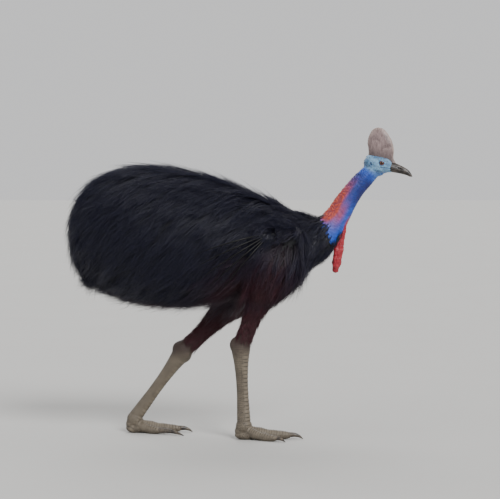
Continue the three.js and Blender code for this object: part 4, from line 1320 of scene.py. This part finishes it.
def dress_skin(skin):
    """Markings, finishes and the skin's own layout of the legs' scale rows."""
    points = points_of(skin)
    raised, nape, on_head, t, angle = bare_relief(points)
    bare = ease(t, 0.24, 0.3) * (points[:, 0] > 480)
    leg_part = points[:, 2] < LEG_TOP
    maps = np.stack([np.stack(leg_map(points, LEGS[name], side)) for name, side in SIDES.items()])
    nearer = np.where(points[:, 1] > 0, 0, 1)
    turn, plates, girth, plated, _ = maps[nearer, :, np.arange(len(points))].T
    mark(skin, "plated", plated * leg_part)
    # The relief height. The bare skin's material darkens the low parts towards navy as painted shade.
    mark(skin, "relief", np.clip((raised + 1.2) / 3.2, 0, 1))
    mark(skin, "pale", on_head * (1 - 0.55 * ease(-to_head(points)[:, 2], 22, 40)))
    sides = bump_at(t, 0.47, 0.1) * ease(np.sin(angle), 0.75, 0.1)
    _, y, z = WATTLE["root"]
    by_wattle = np.hypot((np.abs(points[:, 1]) - y + 3) / 13, (points[:, 2] - z - 6) / 30)
    by_wattle += 3 * (np.sin(angle) < 0)
    red = nape * (1 - ease(t, 0.6, 0.86)) + 0.75 * sides * (1 - on_head) + np.exp(-(by_wattle**3))
    mark(skin, "nape_red", np.clip(red * (t < 0.9), 0, 1))
    navy = (0.72 + 0.2 * ease(np.sin(angle), 0.1, 0.9)) * ease(t, 0.46, 0.7) * (1 - ease(t, 0.82, 0.93))
    mark(skin, "deep", navy * (1 + 0.35 * grain(points, 26, 7)))
    mark(skin, "dusk", dusk(to_head(points), on_head))
    hock = np.array([LEGS[name]["ankle"][2] for name in SIDES])[nearer]
    mark(skin, "umber", 0.85 * ease(points[:, 2] - hock, -50, 25) * leg_part)
    skin.data.materials.clear()
    for material in (hidden_skin(), bare_skin(), scaled_skin()):
        skin.data.materials.append(material)
    kind = np.where(bare > 0.5, 1, np.where(leg_part, 2, 0))
    kind[off_torso(points)[0] < 30] = 0
    first = np.empty(len(skin.data.loops), np.int32)
    skin.data.loops.foreach_get("vertex_index", first)
    starts = np.empty(len(skin.data.polygons), np.int32)
    skin.data.polygons.foreach_get("loop_start", starts)
    skin.data.polygons.foreach_set("material_index", kind[first[starts]].astype(np.int32))
    turns = turn[first] / (2 * math.pi)
    low, high = np.minimum.reduceat(turns, starts), np.maximum.reduceat(turns, starts)
    sizes = np.diff(np.append(starts, len(first)))
    turns += np.repeat(high - low > 0.5, sizes) * (turns < 0)
    rows = np.stack([turns * girth[first], plates[first]], -1)
    skin.data.uv_layers.new(name="scale_rows").data.foreach_set("uv", rows.astype(np.float32).ravel())


def settle(piece, slot, *nodes, material=None):
    """A finished piece with its body and the nodes that it stands for. slot is not used."""
    if material:
        piece.data.materials.clear()
        piece.data.materials.append(material)
    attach(piece, "root")
    if nodes:
        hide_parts(*nodes)


skin = body_skin()
dress_skin(skin)
flesh = ["torso", "rump", "neck_base", "neck", "head"]
for side in SIDES:
    flesh += [f"shin_{side}", f"tarsus_{side}", f"foot_{side}"] + [f"toe_{toe}_{side}" for toe in TOES]
settle(skin, "blue_skin", *flesh)

feather = feather_black()
for piece in coat():
    settle(piece, "coat", material=feather)

settle(casque(), "casque_horn", "casque", material=casque_horn())
bill = dark_horn("bill_keratin", "#1f1b19", "#5a5048", 60)
settle(bill_half(True), "bill_horn", "bill_upper", material=bill)
settle(bill_half(False), "bill_horn", "bill_lower", material=bill)
eye, red = wet_eye(), wattle_skin()
nail = dark_horn("claw_keratin", "#26211d", "#6b5f50", 70)
shaft = dark_horn("quill_keratin", "#050506", "#121110", 50, shine=0.2)
for name, side in SIDES.items():
    settle(eyeball(f"eyeball_{name}", side), "eye", f"eye_{name}", material=eye)
    settle(wattle(name, side), "wattle_skin", f"wattle_{name}", material=red)
    settle(quills(name, side), "quill_horn", f"wing_{name}", material=shaft)
    for toe in TOES:
        settle(claw(name, side, toe), "claw_horn", f"claw_{toe}_{name}", material=nail)

# Floor, light and camera

bpy.ops.mesh.primitive_plane_add(size=60)
floor = bpy.context.view_layer.objects.active
floor.name = "floor"
floor.data.materials.append(plaster())

world = bpy.data.worlds.new("studio")
bpy.context.scene.world = world
world.use_nodes = True
backdrop = world.node_tree.nodes["Background"].inputs
backdrop["Color"].default_value = colour("#e2e2e3")
backdrop["Strength"].default_value = 1.02


def soft_light(name, towards, width, power):
    """Even light from one side, as from a wide screen far off. width is the screen's angle in degrees."""
    lamp = bpy.data.lights.new(name, "SUN")
    lamp.angle, lamp.energy = math.radians(width), power
    stand = bpy.data.objects.new(name, lamp)
    stand.rotation_euler = Vector(towards).to_track_quat("-Z", "Y").to_euler()
    bpy.context.scene.collection.objects.link(stand)


soft_light("key", (-0.45, 0.85, -0.75), 24, 3.0)
soft_light("fill", (0.8, 0.5, -0.45), 60, 0.5)
soft_light("back", (0.2, -0.8, -0.9), 40, 1.2)

# The photograph looks across the bird's right side from a little above its back, 2 m wide at the bird.
VIEW_MIDDLE = (0.0364, 0, 0.75)
CAMERA_AWAY, CAMERA_RISE, VIEW_WIDTH, SENSOR = 8.0, 0.45, 2.0, 36
camera_data = bpy.data.cameras.new("camera")
camera_data.sensor_width = SENSOR
camera_data.lens = SENSOR * math.hypot(CAMERA_AWAY, CAMERA_RISE) / VIEW_WIDTH
camera = bpy.data.objects.new("camera", camera_data)
camera.location = Vector(VIEW_MIDDLE) + Vector((0, -CAMERA_AWAY, CAMERA_RISE))
camera.rotation_euler = (Vector(VIEW_MIDDLE) - camera.location).to_track_quat("-Z", "Y").to_euler()
bpy.context.scene.collection.objects.link(camera)
bpy.context.scene.camera = camera
